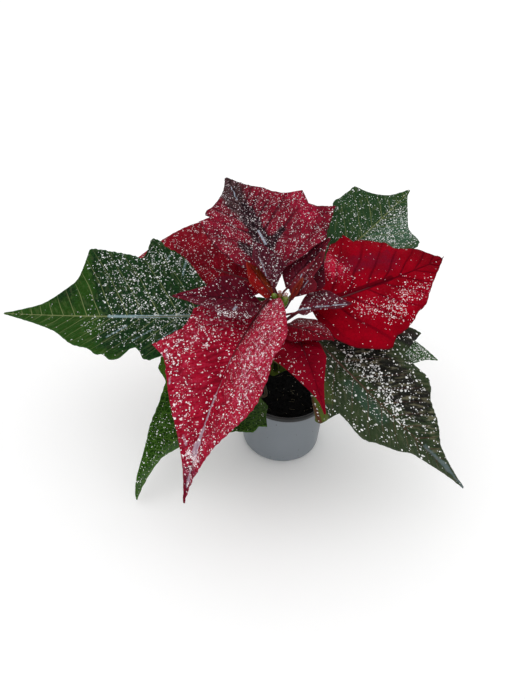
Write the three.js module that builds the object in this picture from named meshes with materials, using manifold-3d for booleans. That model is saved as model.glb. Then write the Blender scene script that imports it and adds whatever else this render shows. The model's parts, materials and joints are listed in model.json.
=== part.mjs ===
// A small potted poinsettia: millimetres, +Z up, the pot's base centre at the origin, the front towards -Y.
import * as THREE from 'three';
import { mergeVertices } from 'three/addons/utils/BufferGeometryUtils.js';
import Module from 'manifold-3d';

const wasm = await Module();
wasm.setup();

// Driving dimensions
const rimDiameter = 63.8;
const potHeight = 50;
const lipHeight = 3.2;
const lipReach = 0.5;
const lipWidth = 2;
const footDiameter = 60.4;
const footRounding = 5.5;
const potWall = 1;
const soilBelowRim = 3;
const plantAxis = [
  [-15, 9, 18],
  [-20.5, 8, 47],
  [-17, 6, 72],
  [-10.5, 3, 108],
  [-7.5, 1, 131],
];
// The whole plant leans in its pot: a turn in degrees about an axis through a place, then a shift
const lean = { turn: 2.5, axis: [0, -0.788, 0.616], through: [-18.4, 20.2, 76.5], shift: [-1.1, -7.9, 0] };
const stemFootRadius = 2.6;
const stemTopRadius = 2.2;
const petioleRadius = 1.2;
const slimPetioleRadius = 0.78;
const shortestLongLeaf = 60;
const ribTipRadius = 0.45;
const ribShares = [0, 0.15, 0.3, 0.45];
const bladeThickness = 0.8;
const bladeBase = 1.3;
const bladeTip = 0.5;
const seatGap = 0.3;

// Fineness
const columnsPerSide = 2;
const stationStep = 14;
const leastStation = 2.4;
const leastCornerStation = 0.6;
const petioleSides = 5;
const stemSides = 8;
const roundSegments = 32;

const skins = {
  red: { color: '#b3162f', roughness: 0.55 },
  veinedRed: { color: '#7d2233', roughness: 0.6 },
  purple: { color: '#571a2c', roughness: 0.6 },
  orange: { color: '#a02a14', roughness: 0.5 },
  green: { color: '#24502c', roughness: 0.55 },
  bronze: { color: '#36402b', roughness: 0.6 },
  olive: { color: '#4b5420', roughness: 0.55 },
};

// Each leaf lies along a midrib that leaves its base at a heading and a pitch (degrees), droops and sways
// towards its tip, and is rolled about it. The two halves fold up from the midrib and curl towards the edge.
// joint is the height on the stem where the petiole starts, and via a place that it passes on its way.
// An outline is a list of [along, out] in mm, and 'lobe' or 'notch' marks a sharp corner.
const leaves = {
  bract_front: {
    skin: 'red', joint: 118, via: [-13.4, -0.4, 133], base: [-15.7, -2.5, 135.6], length: 141, half: 45,
    heading: -121.3, pitch: -14.2, droop: 38.8, sway: 16.3, roll: 13, fold: 30, curl: -8,
    wave: 1.2, waves: 2.5, phase: 0.1,
    left: [[0.6, 9.5, 'lobe'], [3, 16.5], [15.5, 29.5], [23, 35.6], [32.5, 42.3], [42, 43.5, 'lobe'], [50, 41],
      [57, 43], [77, 40], [93, 28], [103, 18], [115, 10], [128, 3]],
    right: [[7, 8], [13, 16], [19, 29], [28, 39, 'lobe'], [40, 38], [46, 41], [59, 50, 'lobe'], [64, 39],
      [73, 33], [88, 24], [103, 14], [117, 7], [129, 3]],
  },
  bract_front_right: {
    skin: 'red', joint: 111, base: [1.9, -12, 119.7], length: 66, half: 18,
    heading: -73, pitch: -1, droop: 30, sway: 0, roll: 0, fold: 18, curl: -6,
    wave: 0.6, waves: 2, phase: 0,
    left: [[6, 8], [16, 11], [30, 12, 'lobe'], [42, 7], [52, 3.5]],
    right: [[5, 12], [12, 18], [19, 21], [26, 22.5, 'lobe'], [33, 17.8], [44, 10.5], [54, 3.5], [60, 1.2]],
  },
  bract_right: {
    skin: 'red', joint: 116, base: [13.2, 3.1, 127.8], length: 105.5, half: 42,
    heading: 14.3, pitch: 14.3, droop: 10.3, sway: 20.7, roll: 24, fold: -3, curl: -6,
    wave: 1.2, waves: 2.5, phase: 0.6,
    left: [[3, 8], [8, 13], [15.5, 22], [26.5, 37], [36.5, 49, 'lobe'], [43.5, 49], [50.5, 52, 'lobe'],
      [53.5, 42, 'notch'], [61.5, 40], [76.5, 31, 'lobe'], [79.5, 23], [92.5, 16], [98.5, 9]],
    right: [[1, 9], [3, 14], [6, 20], [7.5, 26], [12, 31], [18.5, 37], [33.5, 44], [39.5, 44, 'lobe'],
      [44.5, 38, 'notch'], [53.5, 36, 'lobe'], [59.5, 33], [64.5, 29], [72.5, 26], [82.5, 17], [91.5, 10],
      [100.5, 4]],
  },
  bract_back: {
    skin: 'veinedRed', joint: 123, via: [-12.5, 7, 135], base: [-11.8, 14, 145.6], length: 91, half: 42,
    heading: 113, pitch: 31, droop: 15, sway: 8, roll: -10, fold: 20, curl: -12,
    wave: 1.2, waves: 2.5, phase: 0.2,
    left: [[3, 10], [8, 19], [16, 26], [28, 32.5], [39, 35], [48.5, 35.7], [53.7, 36.5, 'lobe'],
      [55, 28, 'notch'], [57.5, 30.3], [60.5, 28.5, 'lobe'], [65, 20.5], [76.5, 9.3]],
    right: [[3, 12], [6, 25, 'lobe'], [9, 30], [13, 41], [20, 46], [34, 58, 'lobe'], [37, 46], [41, 41, 'notch'],
      [54, 43, 'lobe'], [56, 30], [62, 22], [67, 18], [75, 10]],
  },
  bract_back_left: {
    skin: 'red', joint: 113, base: [-17.5, 26.7, 127], length: 119, half: 36,
    heading: 155, pitch: 11, droop: 32, sway: 0, roll: -26, fold: 14, curl: -12,
    wave: 1, waves: 2.5, phase: 0.5,
    left: [[3, 8], [8, 14], [14, 18], [24, 25], [35, 29], [48, 29], [62, 26], [78, 20], [92, 12], [106, 5]],
    right: [[3, 4], [14, 9], [24, 12], [41, 18], [56, 28], [72, 37, 'lobe'], [80, 30], [95, 17], [104, 9], [112, 3]],
  },
  inner_bract_left: {
    skin: 'purple', joint: 128, via: [-13.8, -3.1, 138.5], base: [-21.1, -9, 137.9], length: 56, half: 22,
    heading: -175, pitch: 14, droop: 15, sway: 0, roll: -10, fold: 12, curl: 0,
    wave: 0.5, waves: 2, phase: 0.3,
    left: [[2, 10], [8, 20], [14, 22], [25, 24], [30, 16], [40, 10], [47, 5.5]],
    right: [[4, 6], [10, 14], [16, 18, 'lobe'], [25, 17], [30, 14], [34, 9], [45, 4.5]],
  },
  inner_bract_back: {
    skin: 'purple', joint: 128.5, base: [-3.5, 9, 138.9], length: 46, half: 17,
    heading: 44, pitch: 36, droop: 10, sway: 0, roll: 0, fold: 10, curl: 0,
    wave: 0.5, waves: 2, phase: 0.1,
    left: [[5, 8], [10, 14], [15, 17], [23, 17], [35, 8]],
    right: [[3.5, 8], [6, 18], [8.5, 24], [13, 25], [19, 20], [27, 12], [36, 5]],
  },
  inner_bract_back_left: {
    skin: 'purple', joint: 126, via: [-9.8, 4.2, 135], base: [-11.7, 3, 142.4], length: 32, half: 14,
    heading: 140, pitch: 60, droop: 10, sway: 0, roll: 0, fold: 10, curl: 0,
    wave: 0.4, waves: 2, phase: 0.4,
    left: [[6, 3], [18, 8], [24, 9], [28, 5]],
    right: [[3, 5], [6, 9], [12, 14], [24, 8]],
  },
  inner_bract_back_right: {
    skin: 'purple', joint: 128, base: [0.3, 0, 138.5], length: 38, half: 14,
    heading: 35, pitch: 55, droop: 10, sway: 0, roll: 0, fold: 10, curl: 0,
    wave: 0.4, waves: 2, phase: 0.2,
    left: [[2, 5], [10, 6], [16, 5], [26, 2]],
    right: [[3, 6], [8, 12], [12, 16], [16, 13, 'notch'], [18, 7], [27, 6.5], [33, 3]],
  },
  inner_bract_right: {
    skin: 'purple', joint: 124, base: [3.6, -12, 134.1], length: 35, half: 14,
    heading: 5, pitch: 15, droop: 10, sway: 0, roll: 0, fold: 10, curl: 0,
    wave: 0.4, waves: 2, phase: 0.6,
    left: [[3, 7], [8, 14], [13, 16], [17, 16], [22, 14], [25, 11], [32, 3]],
    right: [[4, 6], [10, 3], [17, 2], [24, 5], [29, 4]],
  },
  inner_bract_front_right: {
    skin: 'purple', joint: 120, base: [-3.4, -14.2, 124.9], length: 34, half: 13,
    heading: -28, pitch: 11, droop: 20, sway: 0, roll: 0, fold: -10, curl: 0,
    wave: 0.4, waves: 2, phase: 0.1,
    left: [[1, 12], [4, 16], [11, 16.5], [19, 15], [25, 11], [30, 5.5]],
    right: [[2, 9], [7, 13], [15, 11], [24, 6], [30, 1.5]],
  },
  small_bract_left: {
    skin: 'orange', joint: 129.5, via: [-11.2, 0.2, 134.3], base: [-13.5, -1, 139.5], length: 27, half: 12,
    heading: 158, pitch: 47, droop: 0, sway: 0, roll: 0, fold: 10, curl: 0,
    wave: 0.3, waves: 2, phase: 0,
    left: [[2, 9], [6, 11], [10, 13], [16, 13.5], [21, 9]],
    right: [[2, 3], [8, 7], [14, 9], [18, 7], [22, 3]],
  },
  small_bract_right: {
    skin: 'orange', joint: 129, via: [-3.3, -2.3, 135.2], base: [-0.9, -3.4, 138.2], length: 16, half: 4,
    heading: 31, pitch: 60, droop: 0, sway: 0, roll: 0, fold: 10, curl: 0,
    wave: 0.2, waves: 2, phase: 0,
    left: [[3, 2], [6, 3], [11, 2]],
    right: [[3, 2], [6, 3], [12, 2.5]],
  },
  leaf_left: {
    skin: 'green', joint: 104, base: [-40.1, 4, 118.9], length: 163, half: 45,
    heading: 187, pitch: 0, droop: 8, sway: -20, roll: -22, fold: 13, curl: -6,
    wave: 1.2, waves: 3, phase: 0.3,
    left: [[6, 12], [18, 22], [32, 29], [45, 34], [51.5, 36.5], [55.5, 35.5], [58.3, 30.3], [61.6, 27],
      [64.6, 27.7], [67.2, 31.2], [70, 35], [74.4, 36.7], [78, 35.3], [81.3, 32.6], [85.2, 33], [92, 28.2],
      [101, 26], [109, 21], [118, 14.5], [132, 9], [147, 4.5]],
    right: [[6, 12], [16, 22.6], [21, 29.2], [29.2, 41.9], [38, 50.2], [46.7, 54.3], [53.5, 60.7], [58.4, 63],
      [61, 62, 'lobe'], [62, 55], [63.5, 49], [67, 46.8], [79, 51.5], [103.5, 53.6], [108.6, 53, 'lobe'],
      [109.4, 40], [112, 28.4], [118.7, 20.8], [133, 9.5], [147, 4.5]],
  },
  leaf_back_right: {
    skin: 'green', joint: 124.5, via: [-1, 12, 129.5], base: [26.1, 58, 127.1], length: 99, half: 40,
    heading: 30, pitch: 30, droop: 15, sway: 24, roll: 14, fold: 16, curl: -10,
    wave: 1, waves: 2.5, phase: 0,
    left: [[4, 12], [14, 21], [30, 26], [44, 36], [52, 36], [69, 34, 'lobe'], [71, 24], [75, 16], [83, 8]],
    right: [[5, 17], [16, 24], [28, 28], [40, 34], [52, 38], [57.5, 37, 'lobe'], [59.2, 33], [60.6, 27],
      [64.2, 21.3], [76.8, 11.7], [90.4, 3]],
  },
  leaf_front_right: {
    skin: 'bronze', joint: 93, base: [19.1, 6, 98.6], length: 141, half: 45,
    heading: -54, pitch: -8, droop: 30, sway: 28, roll: 4, fold: 14, curl: -6,
    wave: 1.4, waves: 3, phase: 0.2,
    left: [[2, 10], [8, 24], [14, 42], [21, 55], [34, 60], [44, 66, 'lobe'], [46, 56], [49, 42, 'notch'], [61, 42],
      [74, 41], [82, 35], [87, 29], [101, 21], [112, 10], [128, 3.5]],
    right: [[5, 12], [16, 22], [34, 37], [45.3, 47.5], [49.5, 50.8], [51.7, 50.2], [52.4, 46], [52.8, 38],
      [53.6, 33.5, 'notch'], [60, 33], [72, 34],
      [81, 28], [92, 21], [99, 14], [109, 10], [128, 3.5]],
  },
  leaf_front_left: {
    skin: 'green', joint: 66, base: [-19.8, -11.1, 58.7], length: 122.6, half: 42,
    heading: -149.5, pitch: 14, droop: 81, sway: 8.5, roll: 0, fold: 14, curl: -4,
    wave: 1, waves: 2.5, phase: 0.4,
    left: [[2.3, 16, 'lobe'], [9.7, 26], [16, 37.6, 'lobe'], [20.5, 35, 'notch'], [26.5, 38.3, 'lobe'], [32, 33],
      [36.6, 28], [53.6, 20], [63.6, 12.5], [69.6, 8.5], [77.6, 4.5], [85.6, 1.5], [97.6, 1], [111.6, 0.8]],
    right: [[4, 6], [13.6, 13], [25.6, 28], [36, 48], [43, 63.5], [46.5, 61], [49.8, 57.5, 'lobe'], [50.6, 45],
      [52.5, 41.5], [57, 37.5], [64.4, 31], [76, 23.4], [86, 16], [96.7, 11], [109, 7], [117, 4]],
  },
  leaf_right: {
    skin: 'green', joint: 84, base: [38.4, 22, 89.2], length: 72, half: 22,
    heading: -13, pitch: 6, droop: 20, sway: 0, roll: 0, fold: 6, curl: 0,
    wave: 0.6, waves: 2, phase: 0.2,
    left: [[5, 11], [16, 21], [31, 24], [45, 18], [53, 13], [62, 7.5]],
    right: [[5, 12], [14, 22], [25, 26], [36, 25], [45, 22], [56, 13, 'lobe'], [61, 7], [66, 3]],
  },
  leaf_young: {
    skin: 'green', joint: 117, base: [-12.9, 8, 119.6], length: 15, half: 8,
    heading: 152, pitch: 29, droop: 0, sway: 0, roll: 0, fold: 8, curl: 0,
    wave: 0.2, waves: 1, phase: 0,
    left: [[3, 6], [7, 9], [12, 6]],
    right: [[3, 4], [7, 7], [12, 4]],
  },
  leaf_low: {
    skin: 'olive', joint: 77, base: [-10.7, 4, 80.2], length: 13, half: 7,
    heading: -35, pitch: -5, droop: 10, sway: 0, roll: 0, fold: -12, curl: -14,
    wave: 0.2, waves: 1, phase: 0,
    left: [[2, 4], [5, 6], [10, 4.5]],
    right: [[2, 6], [4, 10], [8, 9.5], [11, 4]],
  },
};

const leanMatrix = new THREE.Matrix4()
  .makeTranslation(...lean.through)
  .multiply(new THREE.Matrix4().makeRotationAxis(
    new THREE.Vector3(...lean.axis).normalize(), THREE.MathUtils.degToRad(lean.turn)))
  .multiply(new THREE.Matrix4().makeTranslation(...lean.through.map((x) => -x)))
  .premultiply(new THREE.Matrix4().makeTranslation(...lean.shift));

const group = new THREE.Group();

function addPiece(name, geometry, material) {
  const mesh = new THREE.Mesh(geometry, new THREE.MeshStandardMaterial(material));
  mesh.name = name;
  group.add(mesh);
}

function solidFrom(geometry) {
  const bare = geometry.index ? geometry.toNonIndexed() : geometry.clone();
  bare.deleteAttribute('normal');
  bare.deleteAttribute('uv');
  const merged = mergeVertices(bare, 1e-4);
  return new wasm.Manifold(new wasm.Mesh({
    numProp: 3,
    vertProperties: merged.attributes.position.array,
    triVerts: new Uint32Array(merged.index.array),
  }));
}

function geometryFrom(solid) {
  const mesh = solid.getMesh();
  const geometry = new THREE.BufferGeometry();
  geometry.setAttribute('position', new THREE.BufferAttribute(mesh.vertProperties, mesh.numProp));
  geometry.setIndex(new THREE.BufferAttribute(mesh.triVerts, 1));
  geometry.computeVertexNormals();
  return geometry;
}

function indexedGeometry(points, triangles) {
  const geometry = new THREE.BufferGeometry().setFromPoints(points);
  geometry.setIndex(triangles);
  return geometry;
}

// A draw that gives the same numbers each run
function seededRandom(seed) {
  let state = seed;
  return () => {
    state = (state * 16807) % 2147483647;
    return state / 2147483647;
  };
}

// A round tube along a curve, closed at both ends, with a radius for each place along it
function taperedTube(curve, steps, radiusAt, sides) {
  const frames = curve.computeFrenetFrames(steps);
  const points = [];
  const triangles = [];
  for (let i = 0; i <= steps; i++) {
    const centre = curve.getPointAt(i / steps);
    for (let j = 0; j < sides; j++) {
      const angle = (2 * Math.PI * j) / sides;
      points.push(centre.clone()
        .addScaledVector(frames.normals[i], radiusAt(i / steps) * Math.cos(angle))
        .addScaledVector(frames.binormals[i], radiusAt(i / steps) * Math.sin(angle)));
    }
  }
  for (let i = 0; i < steps; i++) {
    for (let j = 0; j < sides; j++) {
      const a = i * sides + j;
      const b = i * sides + (j + 1) % sides;
      triangles.push(a, b, b + sides, a, b + sides, a + sides);
    }
  }
  const last = steps * sides;
  for (let j = 1; j < sides - 1; j++) {
    triangles.push(0, j + 1, j, last, last + j, last + j + 1);
  }
  return indexedGeometry(points, triangles);
}

const stemCurve = new THREE.CatmullRomCurve3(plantAxis.map((p) => new THREE.Vector3(...p)));

// The stem's axis at a height
function stemAt(height) {
  let low = 0;
  let high = 1;
  for (let i = 0; i < 30; i++) {
    const middle = (low + high) / 2;
    if (stemCurve.getPoint(middle).z < height) low = middle;
    else high = middle;
  }
  return stemCurve.getPoint(low);
}

function stemRadius(along) {
  return THREE.MathUtils.lerp(stemFootRadius, stemTopRadius, along);
}

// The midrib, with the leaf's side and upright directions along it
function midribOf(leaf) {
  const steps = 80;
  const rad = THREE.MathUtils.degToRad;
  const frames = [];
  const place = new THREE.Vector3(...leaf.base);
  let before = null;
  for (let i = 0; i <= steps; i++) {
    const t = i / steps;
    const pitch = rad(leaf.pitch - leaf.droop * t);
    const heading = rad(leaf.heading + leaf.sway * t);
    const along = new THREE.Vector3(
      Math.cos(pitch) * Math.cos(heading), Math.cos(pitch) * Math.sin(heading), Math.sin(pitch));
    if (before) place.addScaledVector(before.clone().add(along), leaf.length / steps / 2);
    before = along;
    const side = new THREE.Vector3(-Math.sin(heading), Math.cos(heading), 0);
    side.applyAxisAngle(along, rad(leaf.roll));
    const up = new THREE.Vector3().crossVectors(along, side);
    frames.push({ place: place.clone(), along, side, up });
  }
  return (s) => frames[Math.min(steps, Math.max(0, Math.round((s / leaf.length) * steps)))];
}

// The place on the leaf's middle surface at s along and v to the left, and its upright there
function bladePoint(leaf, midrib, s, v) {
  const frame = midrib(s);
  const out = Math.abs(v) / leaf.half;
  const angle = THREE.MathUtils.degToRad(leaf.fold + leaf.curl * out);
  const turn = 2 * Math.PI * ((leaf.waves * s) / leaf.length + leaf.phase) + (v > 0 ? 1.9 : 0);
  const rise = Math.abs(v) * Math.sin(angle) + leaf.wave * Math.sin(turn) * out * out;
  const place = frame.place.clone()
    .addScaledVector(frame.side, v * Math.cos(angle))
    .addScaledVector(frame.up, rise);
  const up = frame.up.clone().multiplyScalar(Math.cos(angle))
    .addScaledVector(frame.side, -Math.sign(v) * Math.sin(angle));
  return { place, up };
}

// An outline's points with curves between its corners
function smoothOutline(leaf, outline) {
  const list = [[0, bladeBase], ...outline, [leaf.length, bladeTip]];
  const points = list.map(([along, out]) => new THREE.Vector2(along, out));
  const corners = [0];
  outline.forEach((p, i) => p[2] && corners.push(i + 1));
  corners.push(list.length - 1);
  const smooth = [points[0]];
  for (let i = 1; i < corners.length; i++) {
    const part = points.slice(corners[i - 1], corners[i] + 1);
    smooth.push(...new THREE.SplineCurve(part).getPoints((part.length - 1) * 4).slice(1));
  }
  return smooth;
}

function outAt(smooth, along) {
  for (let i = 1; i < smooth.length; i++) {
    const a = smooth[i - 1];
    const b = smooth[i];
    if (along <= b.x) {
      const share = b.x > a.x ? THREE.MathUtils.clamp((along - a.x) / (b.x - a.x), 0, 1) : 1;
      return Math.max(bladeTip, THREE.MathUtils.lerp(a.y, b.y, share));
    }
  }
  return bladeTip;
}

// Where the blade is divided: at every outline point, and at least each step
function stationsOf(leaf) {
  const wanted = [...leaf.left, ...leaf.right]
    .map((p) => ({ along: p[0], corner: Boolean(p[2]) }));
  for (let s = stationStep; s < leaf.length; s += stationStep) wanted.push({ along: s, corner: false });
  wanted.sort((a, b) => b.corner - a.corner || a.along - b.along);
  const kept = [0, leaf.length];
  for (const { along, corner } of wanted) {
    const room = corner ? leastCornerStation : leastStation;
    if (kept.every((s) => Math.abs(s - along) >= room)) kept.push(along);
  }
  return kept.sort((a, b) => a - b);
}

function bladeSolid(leaf) {
  const midrib = midribOf(leaf);
  const left = smoothOutline(leaf, leaf.left);
  const right = smoothOutline(leaf, leaf.right);
  const stations = stationsOf(leaf);
  const columns = 2 * columnsPerSide + 1;
  const upper = [];
  const lower = [];
  for (const s of stations) {
    for (let j = 0; j < columns; j++) {
      const share = 1 - j / columnsPerSide;
      const v = share > 0 ? share * outAt(left, s) : share * outAt(right, s);
      const { place, up } = bladePoint(leaf, midrib, s, v);
      upper.push(place.clone().addScaledVector(up, bladeThickness / 2));
      lower.push(place.clone().addScaledVector(up, -bladeThickness / 2));
    }
  }
  const triangles = [];
  const under = upper.length;
  const at = (i, j) => i * columns + j;
  for (let i = 0; i < stations.length - 1; i++) {
    for (let j = 0; j < columns - 1; j++) {
      const [a, b, c, d] = [at(i, j), at(i, j + 1), at(i + 1, j + 1), at(i + 1, j)];
      triangles.push(a, b, c, a, c, d);
      triangles.push(under + a, under + c, under + b, under + a, under + d, under + c);
    }
  }
  const rim = [];
  const lastRow = stations.length - 1;
  for (let i = 0; i <= lastRow; i++) rim.push(at(i, 0));
  for (let j = 1; j < columns; j++) rim.push(at(lastRow, j));
  for (let i = lastRow - 1; i >= 0; i--) rim.push(at(i, columns - 1));
  for (let j = columns - 2; j > 0; j--) rim.push(at(0, j));
  rim.forEach((a, k) => {
    const b = rim[(k + 1) % rim.length];
    triangles.push(a, b, under + b, a, under + b, under + a);
  });
  const solid = solidFrom(indexedGeometry([...upper, ...lower], triangles));
  if (solid.volume() > 0) return solid;
  for (let i = 0; i < triangles.length; i += 3) {
    [triangles[i + 1], triangles[i + 2]] = [triangles[i + 2], triangles[i + 1]];
  }
  return solidFrom(indexedGeometry([...upper, ...lower], triangles));
}

// The petiole from the stem to the blade, and the rib that it becomes under the blade
function petioleSolid(leaf) {
  const midrib = midribOf(leaf);
  const slim = leaf.length < shortestLongLeaf;
  const thick = slim ? slimPetioleRadius : petioleRadius;
  const axis = stemAt(leaf.joint);
  const start = midrib(0);
  const outward = start.place.clone().sub(axis).setZ(0).normalize();
  const clear = stemFootRadius + seatGap;
  const foot = axis.clone().addScaledVector(outward, clear);
  const reach = start.place.distanceTo(foot);
  const route = [foot, foot.clone().addScaledVector(outward, Math.min(2, reach * 0.1))];
  if (leaf.via) route.push(new THREE.Vector3(...leaf.via));
  else route.push(start.place.clone().addScaledVector(start.along, -Math.min(8, reach * 0.35)));
  for (const share of ribShares) {
    const frame = midrib(share * leaf.length);
    route.push(frame.place.clone().addScaledVector(frame.up, -bladeThickness / 2));
  }
  const curve = new THREE.CatmullRomCurve3(route);
  const steps = slim ? 7 : 11;
  const radiusAt = (along) => THREE.MathUtils.lerp(thick, ribTipRadius, along * along);
  return solidFrom(taperedTube(curve, steps, radiusAt, petioleSides));
}

function addLeaves() {
  for (const [name, leaf] of Object.entries(leaves)) {
    const solid = bladeSolid(leaf).add(petioleSolid(leaf));
    addPiece(name, geometryFrom(solid).applyMatrix4(leanMatrix), { ...skins[leaf.skin], side: THREE.DoubleSide });
  }
}

function addPot() {
  const rim = rimDiameter / 2;
  const wallTop = rim - lipReach;
  const foot = footDiameter / 2;
  const lipBottom = potHeight - lipHeight;
  const roundings = [0, 30, 60, 90].map(THREE.MathUtils.degToRad);
  const outerFoot = roundings.map((a) => [
    foot - footRounding * (1 - Math.sin(a)), footRounding * (1 - Math.cos(a))]);
  const innerFoot = roundings.slice().reverse().map((a) => [
    foot - footRounding + (footRounding - potWall) * Math.sin(a),
    footRounding - (footRounding - potWall) * Math.cos(a)]);
  const profile = [
    [0, 0],
    ...outerFoot,
    [wallTop, lipBottom],
    [rim, lipBottom + 0.4],
    [rim, potHeight - 0.7],
    [rim - 0.7, potHeight],
    [rim - lipWidth + 0.4, potHeight],
    [rim - lipWidth, potHeight - 0.4],
    [wallTop - potWall - 0.5, lipBottom],
    ...innerFoot,
    [0, potWall],
  ];
  const shell = new THREE.LatheGeometry(profile.map(([r, z]) => new THREE.Vector2(r, z)), roundSegments);
  shell.rotateX(Math.PI / 2);
  let solid = solidFrom(shell);
  const drainCount = 4;
  const drainRadius = 2.5;
  const drainCircle = 15;
  for (let i = 0; i < drainCount; i++) {
    const angle = (Math.PI * (2 * i + 1)) / drainCount;
    const drain = new THREE.CylinderGeometry(drainRadius, drainRadius, 6, 10);
    drain.rotateX(Math.PI / 2);
    drain.translate(drainCircle * Math.cos(angle), drainCircle * Math.sin(angle), 1);
    solid = solid.subtract(solidFrom(drain));
  }
  addPiece('pot', geometryFrom(solid), { color: '#747a7e', roughness: 0.5 });
}

function stemTube(extraRadius, lowered) {
  const tube = taperedTube(stemCurve, 12, (along) => stemRadius(along) + extraRadius, stemSides);
  tube.applyMatrix4(leanMatrix).translate(0, 0, -lowered);
  return solidFrom(tube);
}

// Peat with an uneven top, and a plain hole where the stem stands
function addSoil() {
  const random = seededRandom(11);
  const top = potHeight - soilBelowRim;
  const bottom = potWall + seatGap;
  const clearance = 1.4 * seatGap;
  const edgeDip = 0.8;
  const bumpHeight = 1.6;
  const foot = footDiameter / 2;
  const innerRadiusAtFoot = foot - potWall;
  const innerRadiusAtLip = rimDiameter / 2 - lipReach - potWall - 0.5;
  const wallAt = (z) => THREE.MathUtils.mapLinear(
    z, footRounding, potHeight - lipHeight, innerRadiusAtFoot, innerRadiusAtLip) - clearance;
  const rings = 5;
  const segments = 24;
  const circle = (radius, heightAt) => Array.from({ length: segments }, (_, j) => {
    const angle = (2 * Math.PI * j) / segments;
    return new THREE.Vector3(radius * Math.cos(angle), radius * Math.sin(angle), heightAt());
  });
  const points = [new THREE.Vector3(0, 0, top)];
  for (let i = 1; i < rings; i++) {
    points.push(...circle(wallAt(top) * (i / rings), () => top + (random() - 0.5) * bumpHeight));
  }
  points.push(...circle(wallAt(top - edgeDip), () => top - edgeDip));
  points.push(...circle(wallAt(footRounding), () => footRounding));
  points.push(...circle(foot - footRounding - potWall / 2, () => bottom));
  points.push(new THREE.Vector3(0, 0, bottom));
  const triangles = [];
  const bands = rings + 2;
  const at = (i, j) => 1 + (i - 1) * segments + (j % segments);
  for (let j = 0; j < segments; j++) {
    triangles.push(0, at(1, j), at(1, j + 1));
    triangles.push(points.length - 1, at(bands, j + 1), at(bands, j));
    for (let i = 1; i < bands; i++) {
      triangles.push(at(i, j), at(i + 1, j), at(i + 1, j + 1), at(i, j), at(i + 1, j + 1), at(i, j + 1));
    }
  }
  const solid = solidFrom(indexedGeometry(points, triangles))
    .subtract(stemTube(seatGap, 0))
    .subtract(stemTube(seatGap, seatGap));
  addPiece('potting_soil', geometryFrom(solid), { color: '#17120f', roughness: 1 });
}

function addStem() {
  addPiece('stem', geometryFrom(stemTube(0, 0)), { color: '#5c5a33', roughness: 0.7 });
}

// The flower head: buds and cups on short stalks from one seat on the stem's top, some with a crown of bits
function addFlowerHead() {
  const buds = [
    { foot: [-5.5, -4.4, 132], tip: [-4.5, -5.8, 142.6], radius: 2.2, bits: 4 },
    { foot: [-11.2, -3, 138.2], tip: [-12.9, -4.5, 142.4], radius: 1.9, bits: 0 },
    { foot: [-8, -1.8, 135.5], tip: [-8.4, -1.6, 142], radius: 1.9, bits: 3 },
    { foot: [-7.4, -4.4, 134.2], tip: [-8, -6.6, 139.5], radius: 1.8, bits: 0 },
  ];
  const seatHeight = 1.6;
  const stalkRadius = 0.9;
  const bitRadius = 0.55;
  const stemTop = new THREE.Vector3(...plantAxis[plantAxis.length - 1]);
  const seatCentre = stemTop.clone().add(new THREE.Vector3(0, -0.3, seatHeight / 2 + 1.7 * seatGap));
  const disc = new THREE.CylinderGeometry(stemTopRadius, stemTopRadius, seatHeight, stemSides);
  disc.rotateX(Math.PI / 2);
  disc.translate(...seatCentre.toArray());
  let solid = solidFrom(disc);
  for (const { foot, tip, radius, bits } of buds) {
    const from = new THREE.Vector3(...foot);
    const to = new THREE.Vector3(...tip);
    const middle = from.clone().lerp(to, 0.5);
    const halfLength = from.distanceTo(to) / 2;
    const turn = new THREE.Quaternion().setFromUnitVectors(
      new THREE.Vector3(0, 1, 0), to.clone().sub(from).normalize());
    const stalk = new THREE.CatmullRomCurve3([seatCentre, from, middle]);
    solid = solid.add(solidFrom(taperedTube(stalk, 4, () => stalkRadius, petioleSides)));
    const body = new THREE.SphereGeometry(1, 8, 6);
    body.scale(radius, halfLength, radius);
    body.applyQuaternion(turn);
    body.translate(...middle.toArray());
    solid = solid.add(solidFrom(body));
    for (let i = 0; i < bits; i++) {
      const angle = (2 * Math.PI * i) / bits;
      const crown = radius * 0.42;
      const bit = new THREE.SphereGeometry(bitRadius, 5, 4);
      bit.scale(1, 1.7, 1);
      bit.translate(Math.cos(angle) * crown, halfLength * 0.96, Math.sin(angle) * crown);
      bit.applyQuaternion(turn);
      bit.translate(...middle.toArray());
      solid = solid.add(solidFrom(bit));
    }
  }
  const geometry = geometryFrom(solid).applyMatrix4(leanMatrix);
  addPiece('flower_head', geometry, { color: '#6d8b28', roughness: 0.4 });
}

addPot();
addSoil();
addStem();
addFlowerHead();
addLeaves();

export default group;
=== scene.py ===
# A small potted poinsettia dusted with glitter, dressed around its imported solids
# Metres, +Z up, the pot's base centre at the origin, the front towards -Y
import json
import math

import bpy
import numpy as np
from mathutils import Matrix, Vector, noise

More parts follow.
